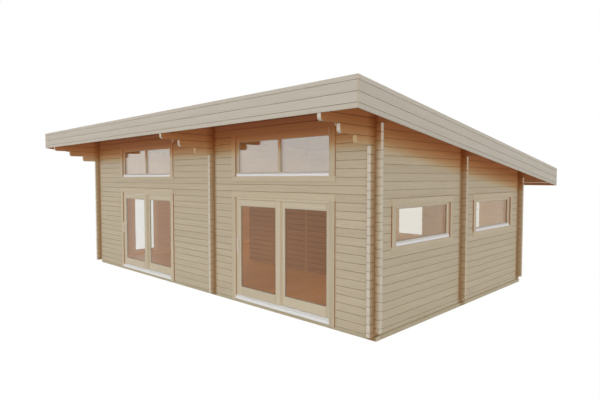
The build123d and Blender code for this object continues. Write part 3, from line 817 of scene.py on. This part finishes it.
def walls():
    """Outer walls and partitions."""
    top = soffit(WALL_FRONT) + COURSE
    door_runs = [(start, start + DOOR_LENGTH) for start in DOOR_STARTS]
    front_holes = [(*opening, BELOW, DOOR_TOP - TRIM_LAP) for opening in DOOR_HOLES]
    front_holes += [hole(run, TRANSOM) for run in door_runs]
    rear_holes = [hole(run, REAR_WINDOW) for run in door_runs]
    right_holes = [hole(run, SIDE_WINDOW) for run in RIGHT_RUNS]
    left_holes = [hole(RIGHT_RUNS[1], SIDE_WINDOW), hole(TALL_RUN, TALL_WINDOW)]
    cross_holes = [(*doorway, BELOW, DOORWAY_TOP) for doorway in DOORWAYS]
    open_way = [(STUB_END, CROSS_FRONT, BELOW, OPEN_WAY_TOP)]
    windowed = ("lower_logs", "window_piers", "upper_logs")
    plans = [
        ("front_wall", 11, ALONG_X, WALL_FRONT, front_holes, ("piers", "door_heads", "top_logs")),
        ("rear_wall", 12, ALONG_X, WALL_REAR - LOG, rear_holes, windowed),
        ("right_wall", 13, ALONG_Y, WALL_RIGHT - LOG, right_holes, windowed),
        ("left_wall", 14, ALONG_Y, WALL_LEFT, left_holes, windowed),
        ("cross_partition", 15, ALONG_X, CROSS_FRONT, cross_holes, ("piers", "upper_logs")),
        ("middle_partition", 16, ALONG_Y, MIDDLE_LEFT, open_way, ("lower_logs", "upper_logs")),
    ]
    for name, seed, along, face, holes, parts in plans:
        logs = Timbers(seed)
        runs = BAYS if along is ALONG_X else [(WALL_FRONT, WALL_REAR)]
        joint = SILL_TOP if along is ALONG_X else 0.0
        log_wall(logs, runs, face, along, joint, SILL_TOP, top, holes, roof=True)
        nodes = [f"{name}_{part}" for part in parts]
        logs.finish(name + "_timbers", LOG_LOOKS, "log_timber", nodes)


def log_ends():
    """Log ends that cross at the corners, and the purlins that carry the eaves at the sides."""
    front = Timbers(17)
    for face in LENGTHWISE:
        runs = [(WALL_FRONT - LOG_END, WALL_FRONT)]
        log_wall(front, runs, face, ALONG_Y, 0.0, SILL_TOP, CORBEL_LOW, eased=(END_EASE, 0))
    front.finish("front_crossing_ends", LOG_LOOKS, "log_timber", ["front_log_ends"])

    rear = Timbers(18)
    for face in LENGTHWISE:
        runs = [(WALL_REAR, WALL_REAR + LOG_END)]
        high = soffit(WALL_REAR)
        log_wall(rear, runs, face, ALONG_Y, 0.0, SILL_TOP, high, eased=(0, END_EASE), roof=True)
    rear.finish("rear_crossing_ends", LOG_LOOKS, "log_timber", ["rear_log_ends"])

    side = Timbers(19)
    left_end = [(WALL_LEFT - LOG_END, WALL_LEFT)]
    right_end = [(WALL_RIGHT, WALL_RIGHT + LOG_END)]
    for face, purlin_low in zip(CROSSWISE, PURLIN_LOWS):
        log_wall(side, left_end, face, ALONG_X, SILL_TOP, COURSE, purlin_low, eased=(END_EASE, 0))
        log_wall(side, right_end, face, ALONG_X, SILL_TOP, COURSE, purlin_low, eased=(0, END_EASE))
    side.finish("side_crossing_ends", LOG_LOOKS, "log_timber", ["side_log_ends"])

    purlins = Timbers(20)
    top = soffit(WALL_FRONT) + COURSE
    runs = [(ROOF_LOW.x, WALL_LEFT), (WALL_RIGHT, ROOF_HIGH.x)]
    for face, purlin_low in zip(CROSSWISE, PURLIN_LOWS):
        log_wall(purlins, runs, face, ALONG_X, SILL_TOP, purlin_low, top, roof=True)
    purlins.finish("purlin_logs", LOG_LOOKS, "log_timber", ["side_eave_purlins"])


def corbels():
    """Corbel logs. The lower front corner of each is round: y = nose + r - sqrt(r^2 - (r - v)^2)."""
    logs = Timbers(21)
    edge_u, edge_v = np.array(V_EDGE[::-1], float).T
    curve_v = (1 - np.cos(CORBEL_TURN)) * CORBEL_ROUND
    side_v = np.concatenate([edge_v, curve_v, COURSE - edge_v[::-1]])
    side_u = np.concatenate([edge_u, np.zeros(len(curve_v)), edge_u[::-1]])
    lowered = np.maximum(CORBEL_ROUND - side_v, 0)
    side_bow = CORBEL_ROUND - np.sqrt(CORBEL_ROUND**2 - lowered**2)
    u = np.concatenate([side_u, LOG - side_u[::-1]])
    v = np.concatenate([side_v, side_v[::-1]])
    bow = np.concatenate([side_bow, side_bow[::-1]])
    easing = np.array([END_EASE, 0.0, 0.0])
    uu = u[None, :] + easing[:, None] * np.sign(LOG / 2 - u)[None, :]
    for face in LENGTHWISE:
        for number in range(CORBEL_COURSES):
            low = CORBEL_LOW + number * COURSE
            reach = CORBEL_REACHES[min(number, len(CORBEL_REACHES) - 1)]
            nose = WALL_FRONT - reach
            if soffit(nose) - low < LEAST_LOG:
                continue
            rounding = bow if number < len(CORBEL_REACHES) else bow * 0
            stations = np.array([0.0, END_EASE, reach])
            tree = logs.tree()
            yy = nose + stations[:, None] + rounding[None, :] * (stations[:, None] < reach)
            zz = low + np.repeat(v[None, :], len(stations), 0)
            cut = np.minimum(zz, soffit(yy) - UNDER_ROOF_GAP)
            spots = np.stack([face + uu, yy, cut], -1)
            grain = np.stack([yy + tree[0], uu - tree[1], cut - low - tree[2]], -1)
            logs.rounded(spots, grain, tree[3], len(side_v))
    logs.finish("corbel_logs", LOG_LOOKS, "log_timber", ["front_corbels"])


def roof_boards():
    """Roof boards with V edges, seen from below, that run down the slope side by side."""
    deck = Timbers(31)
    count = round((ROOF_HIGH.x - ROOF_LOW.x) / SOFFIT_BOARD)
    width = (ROOF_HIGH.x - ROOF_LOW.x) / count
    section = [
        (SOFFIT_V, 0),
        (width - SOFFIT_V, 0),
        (width - SOFFIT_GAP, SOFFIT_V),
        (width - SOFFIT_GAP, DECK),
        (SOFFIT_GAP, DECK),
        (SOFFIT_GAP, SOFFIT_V),
    ]
    for number in range(count):
        origin = (ROOF_LOW.x + number * width, ROOF_LOW.y, soffit(ROOF_LOW.y))
        deck.board(section, (0, ROOF_HIGH.y - ROOF_LOW.y), origin, ALONG_X, DOWN_ROOF)
    deck.finish("roof_boards", [shade_timber, board_end_grain], "roof_timber", ["roof_deck"])


def lapped_sheets():
    """Roofing sheets along the roof: the front edge of each lies over the rear edge of the one before it."""
    sheets = Timbers(32)
    depth = ROOF_HIGH.y - ROOF_LOW.y
    rows = math.ceil(depth / (SHEET_WIDTH - SHEET_LAP))
    step = (depth - SHEET_LAP) / rows
    xs = np.array([ROOF_LOW.x, ROOF_HIGH.x])
    for number in range(rows):
        start, stop = number * step, number * step + step + SHEET_LAP
        y = np.array([start, start + SHEET_LAP, stop - SHEET_LAP, stop])
        rear_lift = LAP_LIFT if number == rows - 1 else COVERING - SHEET - 2 * LAP_LIFT
        lift = np.array([LAP_LIFT, LAP_LIFT, 2 * LAP_LIFT, rear_lift])
        ring_y = ROOF_LOW.y + np.concatenate([y, y[::-1]])
        ring_z = soffit(ring_y) + DECK + np.concatenate([lift, (lift + SHEET)[::-1]])
        x, y, z = np.broadcast_arrays(xs[:, None], ring_y[None, :], ring_z[None, :])
        spots = np.stack([x, y, z], -1)
        sheets.tube(spots, spots, 0.5, True)
    sheets.finish("roofing_sheets", [roof_sheet], "roof_covering", ["roof_covering"])


def fascias():
    """Four boards set edge to edge on each side of the roof, which follow its slope."""
    levels = [FASCIA_RISE, *[FASCIA_RISE - joint for joint in FASCIA_JOINTS], FASCIA_RISE - FASCIA_DEPTH]
    front_run = (ROOF_LOW.x, ROOF_HIGH.x)
    side_run = (0, EAVES_HIGH.y - EAVES_LOW.y)
    plans = [
        ("front_fascia", 41, ALONG_X, front_run, DOWN_ROOF, 0, EAVES_LOW.y),
        ("rear_fascia", 42, ALONG_X, front_run, -DOWN_ROOF, 0, EAVES_HIGH.y),
        ("left_fascia", 43, DOWN_ROOF, side_run, ALONG_X, EAVES_LOW.x, EAVES_LOW.y),
        ("right_fascia", 44, DOWN_ROOF, side_run, -ALONG_X, EAVES_HIGH.x, EAVES_LOW.y),
    ]
    for node, seed, along, run, inward, x, y in plans:
        boards = Timbers(seed)
        for high, low in zip(levels[:-1], levels[1:]):
            high_edge = high if high == levels[0] else high - FASCIA_GAP / 2
            low_edge = low if low == levels[-1] else low + FASCIA_GAP / 2
            section = eased_section(FASCIA, high_edge - low_edge, FASCIA_EASE)
            boards.board(section, run, (x, y, soffit(y) + low_edge), inward, along)
        boards.finish(node + "_boards", [fascia_timber, board_end_grain], "fascia_timber", [node])


def foundation():
    """Foundation beams round the cabin and under its partitions."""
    beams = Timbers(51)
    side = (MIDDLE_BEAM - LOG) / 2
    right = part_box("foundation_beams")[1].x
    for y in (WALL_FRONT, WALL_REAR - BEAM):
        run = (WALL_LEFT + FOUNDATION_INSET, right)
        beams.board(eased_section(BEAM, SILL_TOP), run, (0, y, 0), ALONG_Y, ALONG_X)
    run_y = (WALL_FRONT + BEAM + 2 * BEAM_JOINT, WALL_REAR - BEAM - 2 * BEAM_JOINT)
    for x, width in ((WALL_LEFT, BEAM), (right - BEAM, BEAM), (MIDDLE_LEFT - side, MIDDLE_BEAM)):
        beams.board(eased_section(width, SILL_TOP), run_y, (x, 0, 0), ALONG_X, ALONG_Y)
    for run in (
        (WALL_LEFT + BEAM + BEAM_JOINT, MIDDLE_LEFT - side - BEAM_JOINT),
        (MIDDLE_LEFT + LOG + side + BEAM_JOINT, right - BEAM - BEAM_JOINT),
    ):
        beams.board(eased_section(MIDDLE_BEAM, SILL_TOP), run, (0, CROSS_FRONT - side, 0), ALONG_Y, ALONG_X)
    looks = [foundation_timber, board_end_grain]
    beams.finish("foundation_timbers", looks, "foundation_timber", ["foundation_beams"])


def floor_boards():
    """Floor planks, cut round the feet of the partitions and the door frames."""
    planks = Timbers(52)
    low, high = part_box("floor_boards")
    count = round((high.x - low.x) / PLANK)
    width = (high.x - low.x) / count
    feet = [(CROSS_FRONT, CROSS_FRONT + LOG, *pier) for pier in cross_piers()]
    feet += [(WALL_FRONT, STUB_END, MIDDLE_LEFT, MIDDLE_LEFT + LOG)]
    feet += [(CROSS_FRONT, WALL_REAR, MIDDLE_LEFT, MIDDLE_LEFT + LOG)]
    feet += [(WALL_FRONT, WALL_FRONT + FRAME_DEPTH, *opening) for opening in DOOR_HOLES]
    for number in range(count):
        left = low.x + number * width
        tree = planks.tree()
        for start, stop, near, far in free_pieces((low.y, high.y), left, left + width, feet):
            section = eased_section(far - near, high.z - low.z, PLANK_EASE, PLANK_GAP)
            planks.board(section, (start, stop), (near, 0, low.z), ALONG_X, ALONG_Y, UP, tree)
    planks.finish("floor_planks", [floor_timber, board_end_grain], "floor_timber", ["floor_boards"])


def cross_piers():
    """Stretches of the cross partition that stand on the floor."""
    return [
        (WALL_LEFT + LOG, DOORWAYS[0][0]),
        (DOORWAYS[0][1], MIDDLE_LEFT),
        (MIDDLE_LEFT + LOG, DOORWAYS[1][0]),
        (DOORWAYS[1][1], WALL_RIGHT - LOG),
    ]


class Face:
    """One side of the cabin: a place is given along it, outward from it and up."""

    def __init__(self, name):
        self.along, self.outward, self.origin = {
            "front": (ALONG_X, -ALONG_Y, np.array((0, WALL_FRONT, 0))),
            "rear": (ALONG_X, ALONG_Y, np.array((0, WALL_REAR, 0))),
            "left": (ALONG_Y, -ALONG_X, np.array((WALL_LEFT, 0, 0))),
            "right": (ALONG_Y, ALONG_X, np.array((WALL_RIGHT, 0, 0))),
        }[name]

    def spot(self, outward, rise):
        return self.origin + outward * self.outward + rise * UP

    def level(self, timbers, section, run, outward, rise):
        """Board along the wall; the section's u runs outward and its v runs up."""
        timbers.board(section, run, self.spot(outward, rise), self.outward, self.along)

    def upright(self, timbers, section, rise, place, outward, flip=False):
        """Board that stands up; the section's u runs along the wall (back along it if flipped), v outward."""
        across = -self.along if flip else self.along
        origin = self.spot(outward, 0) + place * self.along
        timbers.board(section, rise, origin, across, UP, self.outward)

    def lying(self, timbers, section, run, outward, rise, flip=False):
        """Board along the wall; the section's u runs up (down if flipped) and its v runs outward."""
        across = -UP if flip else UP
        timbers.board(section, run, self.spot(outward, rise), across, self.along, self.outward)


DOORS = [("front", (start, start + DOOR_LENGTH)) for start in DOOR_STARTS]
WINDOWS = [("front", run, TRANSOM) for _, run in DOORS]
WINDOWS += [("rear", run, REAR_WINDOW) for _, run in DOORS]
WINDOWS += [("right", run, SIDE_WINDOW) for run in RIGHT_RUNS]
WINDOWS += [("left", RIGHT_RUNS[1], SIDE_WINDOW), ("left", TALL_RUN, TALL_WINDOW)]


def surrounds():
    """Trim boards round the doors and windows, with rounded front edges."""
    section = eased_section(TRIM, TRIM_PROUD, TRIM_EASE)
    doors = Timbers(61)
    for wall, (start, stop) in DOORS:
        face = Face(wall)
        rise = (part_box("door_trims")[0].z, DOOR_TOP - TRIM - JOINT)
        face.upright(doors, section, rise, start, 0)
        face.upright(doors, section, rise, stop - TRIM, 0)
        face.lying(doors, section, (start, stop), 0, DOOR_TOP - TRIM)
    doors.finish("door_surrounds", TRIM_LOOKS, "trim_timber", ["door_trims"])
    windows = Timbers(62)
    low_section = eased_section(LOW_TRIM, TRIM_PROUD, TRIM_EASE)
    for wall, (start, stop), (low, high) in WINDOWS:
        face = Face(wall)
        rise = (low + LOW_TRIM + JOINT, high - TRIM - JOINT)
        face.upright(windows, section, rise, start, 0)
        face.upright(windows, section, rise, stop - TRIM, 0)
        face.lying(windows, low_section, (start, stop), 0, low)
        face.lying(windows, section, (start, stop), 0, high - TRIM)
    windows.finish("window_surrounds", TRIM_LOOKS, "trim_timber", ["window_trims"])


def bar_section(width, thickness, bead=0.016, step=0.004, ease=0.002):
    """Section of a frame bar, outer edge at u = 0: eased corners and a bevelled bead at the glass side."""
    front = [
        (0, thickness - ease),
        (ease * 0.3, thickness - ease * 0.3),
        (ease, thickness),
        (width - bead - step, thickness),
        (width - bead - step * 0.4, thickness - step * 0.5),
        (width - bead, thickness - step),
        (width - 0.004, thickness - step - 0.0015),
        (width, thickness - step - 0.004),
    ]
    back = [(u, thickness - v) for u, v in front]
    return back + front[::-1]


def glazed_frame(timbers, face, run, rise, outward, thickness, bars):
    """Frame of two uprights that run through and two level bars, with (side, top, bottom) widths in bars."""
    side, top, bottom = bars
    rear = outward - thickness
    upright = bar_section(side, thickness)
    for place, flip in ((run[0], False), (run[1], True)):
        face.upright(timbers, upright, rise, place, rear, flip)
    inner = (run[0] + side, run[1] - side)
    face.lying(timbers, bar_section(top, thickness), inner, rear, rise[1], True)
    face.lying(timbers, bar_section(bottom, thickness), inner, rear, rise[0])


def ring(timbers, face, run, rise, profile):
    """Thin strip round a pane: a closed profile (inward, outward) carried round the four corners."""
    profile = np.asarray(profile, float)
    u, v = profile[:, 0], profile[:, 1]
    a = np.array([run[0], run[1], run[1], run[0]])
    z = np.array([rise[0], rise[0], rise[1], rise[1]])
    inward_a = np.array([1, -1, -1, 1])
    inward_z = np.array([1, 1, -1, -1])
    along = a[:, None] + inward_a[:, None] * u
    up = z[:, None] + inward_z[:, None] * u
    spots = (
        face.origin
        + along[..., None] * face.along
        + up[..., None] * UP
        + np.repeat(v[None, :], 4, 0)[..., None] * face.outward
    )
    if np.dot(np.cross(face.along, UP), face.outward) > 0:
        spots = spots[:, ::-1]
    timbers.band(spots, spots, 0.5)


def glazing(face, seals, spacers, run, rise, outward, thickness):
    """Gaskets on both sides of a sealed unit and the spacer bar inside its edge."""
    middle = outward - thickness / 2
    for sign in (-1, 1):
        v = middle + sign * (GLASS / 2 + GASKET_GAP)
        v_out = v + sign * GASKET_DEPTH
        lip = [(0.0, v), (GASKET_LIP, v), (0.0018, v_out), (0.0, v_out)]
        ring(seals, face, run, rise, lip if sign > 0 else lip[::-1])
    back, front = middle - GLASS / 2 + SPACER_BACK, middle + GLASS / 2 - SPACER_BACK
    edge, inner = SPACER_EDGES
    ring(spacers, face, run, rise, [(edge, back), (inner, back), (inner, front), (edge, front)])


def panes(wall, run, rise):
    """Run and rise of each pane in a window."""
    start, stop = run[0] + TRIM_LAP + WINDOW_BAR, run[1] - TRIM_LAP - WINDOW_BAR
    head_bar = TRANSOM_HEAD_BAR if wall == "front" else WINDOW_BAR
    low, high = rise[0] + TRIM_LAP + WINDOW_BAR, rise[1] - TRIM_LAP - head_bar
    if wall in ("left", "right"):
        return [((start, stop), (low, high))]
    middle = (start + stop) / 2
    return [((start, middle - MULLION / 2), (low, high)), ((middle + MULLION / 2, stop), (low, high))]


def windows():
    """Window frames with their bars, glazing gaskets and spacers, and white folded sills."""
    frames = Timbers(71)
    seals, spacers = Timbers(72), Timbers(73)
    sills = Timbers(74)
    sill_profile = [
        (-WINDOW_RECESS, SILL_RISE - SILL_SHEET * 1.3),
        (SILL_OUT - SILL_SHEET, SILL_LIP - SILL_SHEET * 0.6),
        (SILL_OUT - SILL_SHEET, 0.0),
        (SILL_OUT, 0.0),
        (SILL_OUT, SILL_LIP - 0.0016),
        (SILL_OUT - 0.0006, SILL_LIP - 0.0002),
        (-WINDOW_RECESS, SILL_RISE),
    ]
    for wall, run, rise in WINDOWS:
        face = Face(wall)
        outer_run = (run[0] + TRIM_LAP, run[1] - TRIM_LAP)
        outer_rise = (rise[0] + TRIM_LAP, rise[1] - TRIM_LAP)
        glass_panes = panes(wall, run, rise)
        inner = glass_panes[0][1]
        bars = (WINDOW_BAR, outer_rise[1] - inner[1], inner[0] - outer_rise[0])
        glazed_frame(frames, face, outer_run, outer_rise, -WINDOW_RECESS, WINDOW_DEPTH, bars)
        if len(glass_panes) == 2:
            section = np.array(bar_section(MULLION / 2, WINDOW_DEPTH + MULLION_PROUD, 0.014))
            half = section[section[:, 0] > 0.001]
            both = np.concatenate([half, (half * (-1, 1))[::-1]])
            face.upright(frames, both, inner, (run[0] + run[1]) / 2, -WINDOW_RECESS - WINDOW_DEPTH)
        for pane_run, pane_rise in glass_panes:
            glazing(face, seals, spacers, pane_run, pane_rise, -WINDOW_RECESS, WINDOW_DEPTH)
        sill_run = (run[0] + TRIM + SILL_SPARE, run[1] - TRIM - SILL_SPARE)
        face.level(sills, sill_profile, sill_run, 0, rise[0] + LOW_TRIM + JOINT)
    looks = [casement_timber, board_end_grain]
    frames.finish("window_casements", looks, "joinery_timber", ["window_frames"])
    seals.finish("window_gaskets", [gasket], "window_glass")
    spacers.finish("window_spacers", [spacer_metal], "handle_metal")
    sills.finish("sill_sheets", [white_metal], "white_metal", ["window_sills"])


LEAF_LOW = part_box("left_sliding_leaf")[0].z
LEAF_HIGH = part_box("left_sliding_leaf")[1].z
LEAF_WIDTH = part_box("left_sliding_leaf")[1].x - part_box("left_sliding_leaf")[0].x


def leaf(seed, starts, front, body, name, node):
    """Glazed door leaves that stand `front` behind the wall's face, with their gaskets and spacers."""
    timbers, seals, spacers = Timbers(seed), Timbers(seed + 1), Timbers(seed + 2)
    face = Face("front")
    for start in starts:
        run = (start, start + LEAF_WIDTH)
        bars = (STILE, TOP_RAIL, BOTTOM_RAIL)
        glazed_frame(timbers, face, run, (LEAF_LOW, LEAF_HIGH), -front, LEAF_THICKNESS, bars)
        pane = (run[0] + STILE, run[1] - STILE)
        rise = (LEAF_LOW + BOTTOM_RAIL, LEAF_HIGH - TOP_RAIL)
        glazing(face, seals, spacers, pane, rise, -front, LEAF_THICKNESS)
    timbers.finish(name + "_timbers", JOINERY_LOOKS, "joinery_timber", [node], body)
    seals.finish(name + "_gaskets", [gasket], "window_glass", [], body)
    spacers.finish(name + "_spacers", [spacer_metal], "handle_metal", [], body)


def handle(seed, handle_node, body, name):
    """Bar handle: a rounded bar on two posts with round roses, all turned about their own lines."""
    made = Timbers(seed)
    low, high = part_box(handle_node)
    radius = (high.x - low.x) / 2
    x = (low.x + high.x) / 2
    bar_y = low.y + radius
    depth = high.y - bar_y
    turn = np.radians(np.arange(0, 360, 22.5))

    def turned(profile, origin, axis, first, second):
        """Turn (distance along the axis, radius) pairs about a line."""
        profile = np.asarray(profile, float)
        circle = np.cos(turn)[:, None] * first + np.sin(turn)[:, None] * second
        spots = np.asarray(origin) + profile[:, 0, None, None] * axis + profile[:, 1, None, None] * circle
        outward = np.dot(np.cross(first, second), axis) > 0
        made.tube(spots, spots, 0.5, outward)

    length = high.z - low.z
    dome = np.radians(np.linspace(8, 90, 6))
    bottom = [(radius - radius * math.cos(a), radius * math.sin(a)) for a in dome]
    top = [(length - d, r) for d, r in bottom[::-1]]
    turned(bottom + top, (x, bar_y, low.z), UP, ALONG_X, ALONG_Y)
    neck = radius * HANDLE_NECK
    post = [
        (0.004, neck * 0.9),
        (depth - HANDLE_ROSE - 0.003, neck),
        (depth - HANDLE_ROSE, neck + 0.002),
        (depth - HANDLE_ROSE + 0.001, 0.0145),
        (depth - 0.005, 0.0165),
        (depth, 0.017),
    ]
    for z in (low.z + HANDLE_POST_INSET, high.z - HANDLE_POST_INSET):
        turned(post, (x, bar_y, z), ALONG_Y, ALONG_X, -UP)
    made.finish(name, [handle_metal], "handle_metal", [handle_node], body, HANDLE_SHARP)


def doors():
    """Frames, thresholds with their tracks, fixed and sliding leaves, and handles."""
    frames, tracks = Timbers(81), Timbers(82)
    face = Face("front")
    sill_low, sill_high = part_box("door_thresholds")
    high = sill_high.z - sill_low.z
    jamb = eased_section(JAMB, FRAME_DEPTH, FRAME_EASE)
    head_low = HEAD_LOW + HEAD_GAP
    head = eased_section(DOOR_TOP - TRIM_LAP - head_low, FRAME_DEPTH, FRAME_EASE)
    threshold = [
        (-FRAME_DEPTH, 0),
        (0.024, 0),
        (0.026, 0.004),
        (0.03, 0.006),
        (0.03, high - 0.026),
        (0.028, high - 0.022),
        (0.0, high - 0.008),
        (-0.003, high),
    ]
    for track in TRACKS:
        threshold += [
            (-track, high),
            (-track - 0.0005, high - TRACK_DEPTH),
            (-track - TRACK_WIDTH + 0.0005, high - TRACK_DEPTH),
            (-track - TRACK_WIDTH, high),
        ]
    threshold.append((-FRAME_DEPTH, high))
    for start, stop in DOOR_HOLES:
        for place in (start, stop - JAMB):
            face.upright(frames, jamb, (SILL_TOP, HEAD_LOW), place, -FRAME_DEPTH)
        face.lying(frames, head, (start, stop), -FRAME_DEPTH, head_low)
        face.level(tracks, threshold, (start + JAMB, stop - JAMB), 0, sill_low.z)
    frames.finish("door_casings", JOINERY_LOOKS, "joinery_timber", ["door_frames"])
    tracks.finish("door_tracks", [white_metal], "white_metal", ["door_thresholds"])

    fixed_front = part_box("fixed_door_leaves")[0].y - WALL_FRONT
    fixed_starts = [opening[1] - JAMB - LEAF_WIDTH for opening in DOOR_HOLES]
    leaf(83, fixed_starts, fixed_front, "root", "fixed_leaf", "fixed_door_leaves")
    for number, side in enumerate(("left", "right")):
        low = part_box(side + "_sliding_leaf")[0]
        body = side + "_door"
        node = side + "_sliding_leaf"
        leaf(86 + 4 * number, [low.x], low.y - WALL_FRONT, body, side + "_leaf", node)
        handle(89 + 4 * number, side + "_door_handle", body, side + "_bar_handle")


def glass():
    """The sealed units keep their CAD shape; those in the windows mirror more than those in the doors."""
    for node in ("fixed_door_glass", "left_sliding_glass", "right_sliding_glass"):
        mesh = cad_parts[node].data
        mesh.materials.clear()
        mesh.materials.append(clear_glass)
    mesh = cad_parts["window_glass"].data
    mesh.materials.clear()
    mesh.materials.append(low_glass)
    mesh.materials.append(high_glass)
    for face in mesh.polygons:
        face.material_index = int(face.center.z > TRANSOM[0])


walls()
log_ends()
corbels()
roof_boards()
lapped_sheets()
fascias()
foundation()
floor_boards()
surrounds()
windows()
doors()
glass()


# Floor, light and camera

FLOOR_SEEN = 0.97
FLOOR_GLOW = 1.014
FLOOR_MIRRORED = 0.6
FLOOR_REACH = 150.0
FLOOR_DROP = 0.001
AMBIENT = 0.33
ROOM_LIGHT = (1.0, 0.88, 0.72)
ROOM_LIGHT_DROP = 0.1
ROOM_MARGIN = 0.6
FRONT_ROOM_WATTS = (9, 7)
REAR_ROOM_WATTS = (22, 18)
EYE = (9.064, -8.470, 2.466)
TURNED = 44.364
TILTED = 2.642
LENS = 28.406


def stage_floor():
    """Pale floor: the camera and reflections see it near white, and it still takes the cabin's shadow."""
    made, w = new_material("studio_floor")
    path = w.node("LightPath", {}, {}, "Is Camera Ray")
    seen = w.math("MAXIMUM", path, path.other("Is Transmission Ray"))
    seen = w.math("MAXIMUM", seen, path.other("Is Glossy Ray") * FLOOR_MIRRORED)
    plain = w.node("BsdfDiffuse", {}, {"Color": (*srgb(196, 192, 186), 1)})
    bright = w.node("BsdfDiffuse", {}, {"Color": (*srgb(246, 246, 246), 1)})
    glow = w.node("Emission", {}, {"Color": (1, 1, 1, 1), "Strength": FLOOR_GLOW})
    lit = w.node("MixShader", {}, {0: FLOOR_SEEN, 1: bright, 2: glow})
    shader = w.node("MixShader", {}, {0: seen, 1: plain, 2: lit})
    finished(made, shader)
    mesh = bpy.data.meshes.new("studio_floor")
    corners = np.array([(-1, -1, 0), (1, -1, 0), (1, 1, 0), (-1, 1, 0)], float) * FLOOR_REACH
    corners[:, 2] = -FLOOR_DROP
    mesh.from_pydata(corners.tolist(), [], [(0, 1, 2, 3)])
    mesh.materials.append(made)
    floor = bpy.data.objects.new("studio_floor", mesh)
    bpy.context.scene.collection.objects.link(floor)


def sky():
    """White all round where it is seen, and a soft plain light on the cabin."""
    world = bpy.data.worlds.new("studio_sky")
    bpy.context.scene.world = world
    world.use_nodes = True
    tree = world.node_tree
    tree.nodes.clear()
    w = Wire(tree)
    path = w.node("LightPath", {}, {}, "Is Camera Ray")
    seen = w.math("MAXIMUM", path, path.other("Is Glossy Ray"))
    seen = w.math("MAXIMUM", seen, path.other("Is Transmission Ray"))
    soft = w.node("Background", {}, {"Color": (1.0, 0.99, 0.97, 1), "Strength": AMBIENT})
    white = w.node("Background", {}, {"Color": (1, 1, 1, 1), "Strength": 1.0})
    both = w.node("MixShader", {}, {0: seen, 1: soft, 2: white})
    both.node("OutputWorld", {}, {"Surface": both})


def sun(name, azimuth, elevation, strength, spread, shadow=True):
    """Broad soft light from a direction, in degrees: azimuth 0 comes from the front, 90 from the right."""
    light = bpy.data.lights.new(name, "SUN")
    light.energy = strength
    light.angle = math.radians(spread)
    light.use_shadow = shadow
    lamp = bpy.data.objects.new(name, light)
    bpy.context.scene.collection.objects.link(lamp)
    lamp.rotation_euler = (math.radians(90 - elevation), 0, math.radians(azimuth))
    lamp.visible_glossy = False


def room_light(name, x_run, y_run, strength):
    """Soft warm light from under the roof boards of a room."""
    light = bpy.data.lights.new(name, "AREA")
    light.shape = "RECTANGLE"
    light.size = x_run[1] - x_run[0] - 2 * ROOM_MARGIN
    light.size_y = y_run[1] - y_run[0] - 2 * ROOM_MARGIN
    light.energy = strength
    light.color = ROOM_LIGHT
    lamp = bpy.data.objects.new(name, light)
    bpy.context.scene.collection.objects.link(lamp)
    lamp.location = (sum(x_run) / 2, sum(y_run) / 2, soffit(y_run[1]) - ROOM_LIGHT_DROP)
    lamp.visible_camera = False
    lamp.visible_glossy = False


def camera():
    """The photograph's viewpoint, solved from the cabin's edges."""
    data = bpy.data.cameras.new("camera")
    data.lens = LENS
    data.sensor_width = 36.0
    data.clip_end = 500.0
    made = bpy.data.objects.new("camera", data)
    made.location = EYE
    made.rotation_euler = (math.radians(90 - TILTED), 0, math.radians(TURNED))
    bpy.context.scene.collection.objects.link(made)
    bpy.context.scene.camera = made


stage_floor()
sky()
sun("soft_sun", azimuth=-25, elevation=10, strength=0.8, spread=30)
sun("fill", azimuth=49, elevation=8, strength=2.5, spread=60, shadow=False)
sun("rear_fill", azimuth=229, elevation=6, strength=2.2, spread=60, shadow=False)
for number, bay in enumerate(BAYS):
    front_run = (WALL_FRONT + LOG, CROSS_FRONT)
    rear_run = (CROSS_FRONT + LOG, WALL_REAR - LOG)
    room_light(f"front_room_light_{number}", bay, front_run, FRONT_ROOM_WATTS[number])
    room_light(f"rear_room_light_{number}", bay, rear_run, REAR_ROOM_WATTS[number])
camera()
bpy.context.scene.view_settings.view_transform = "Standard"
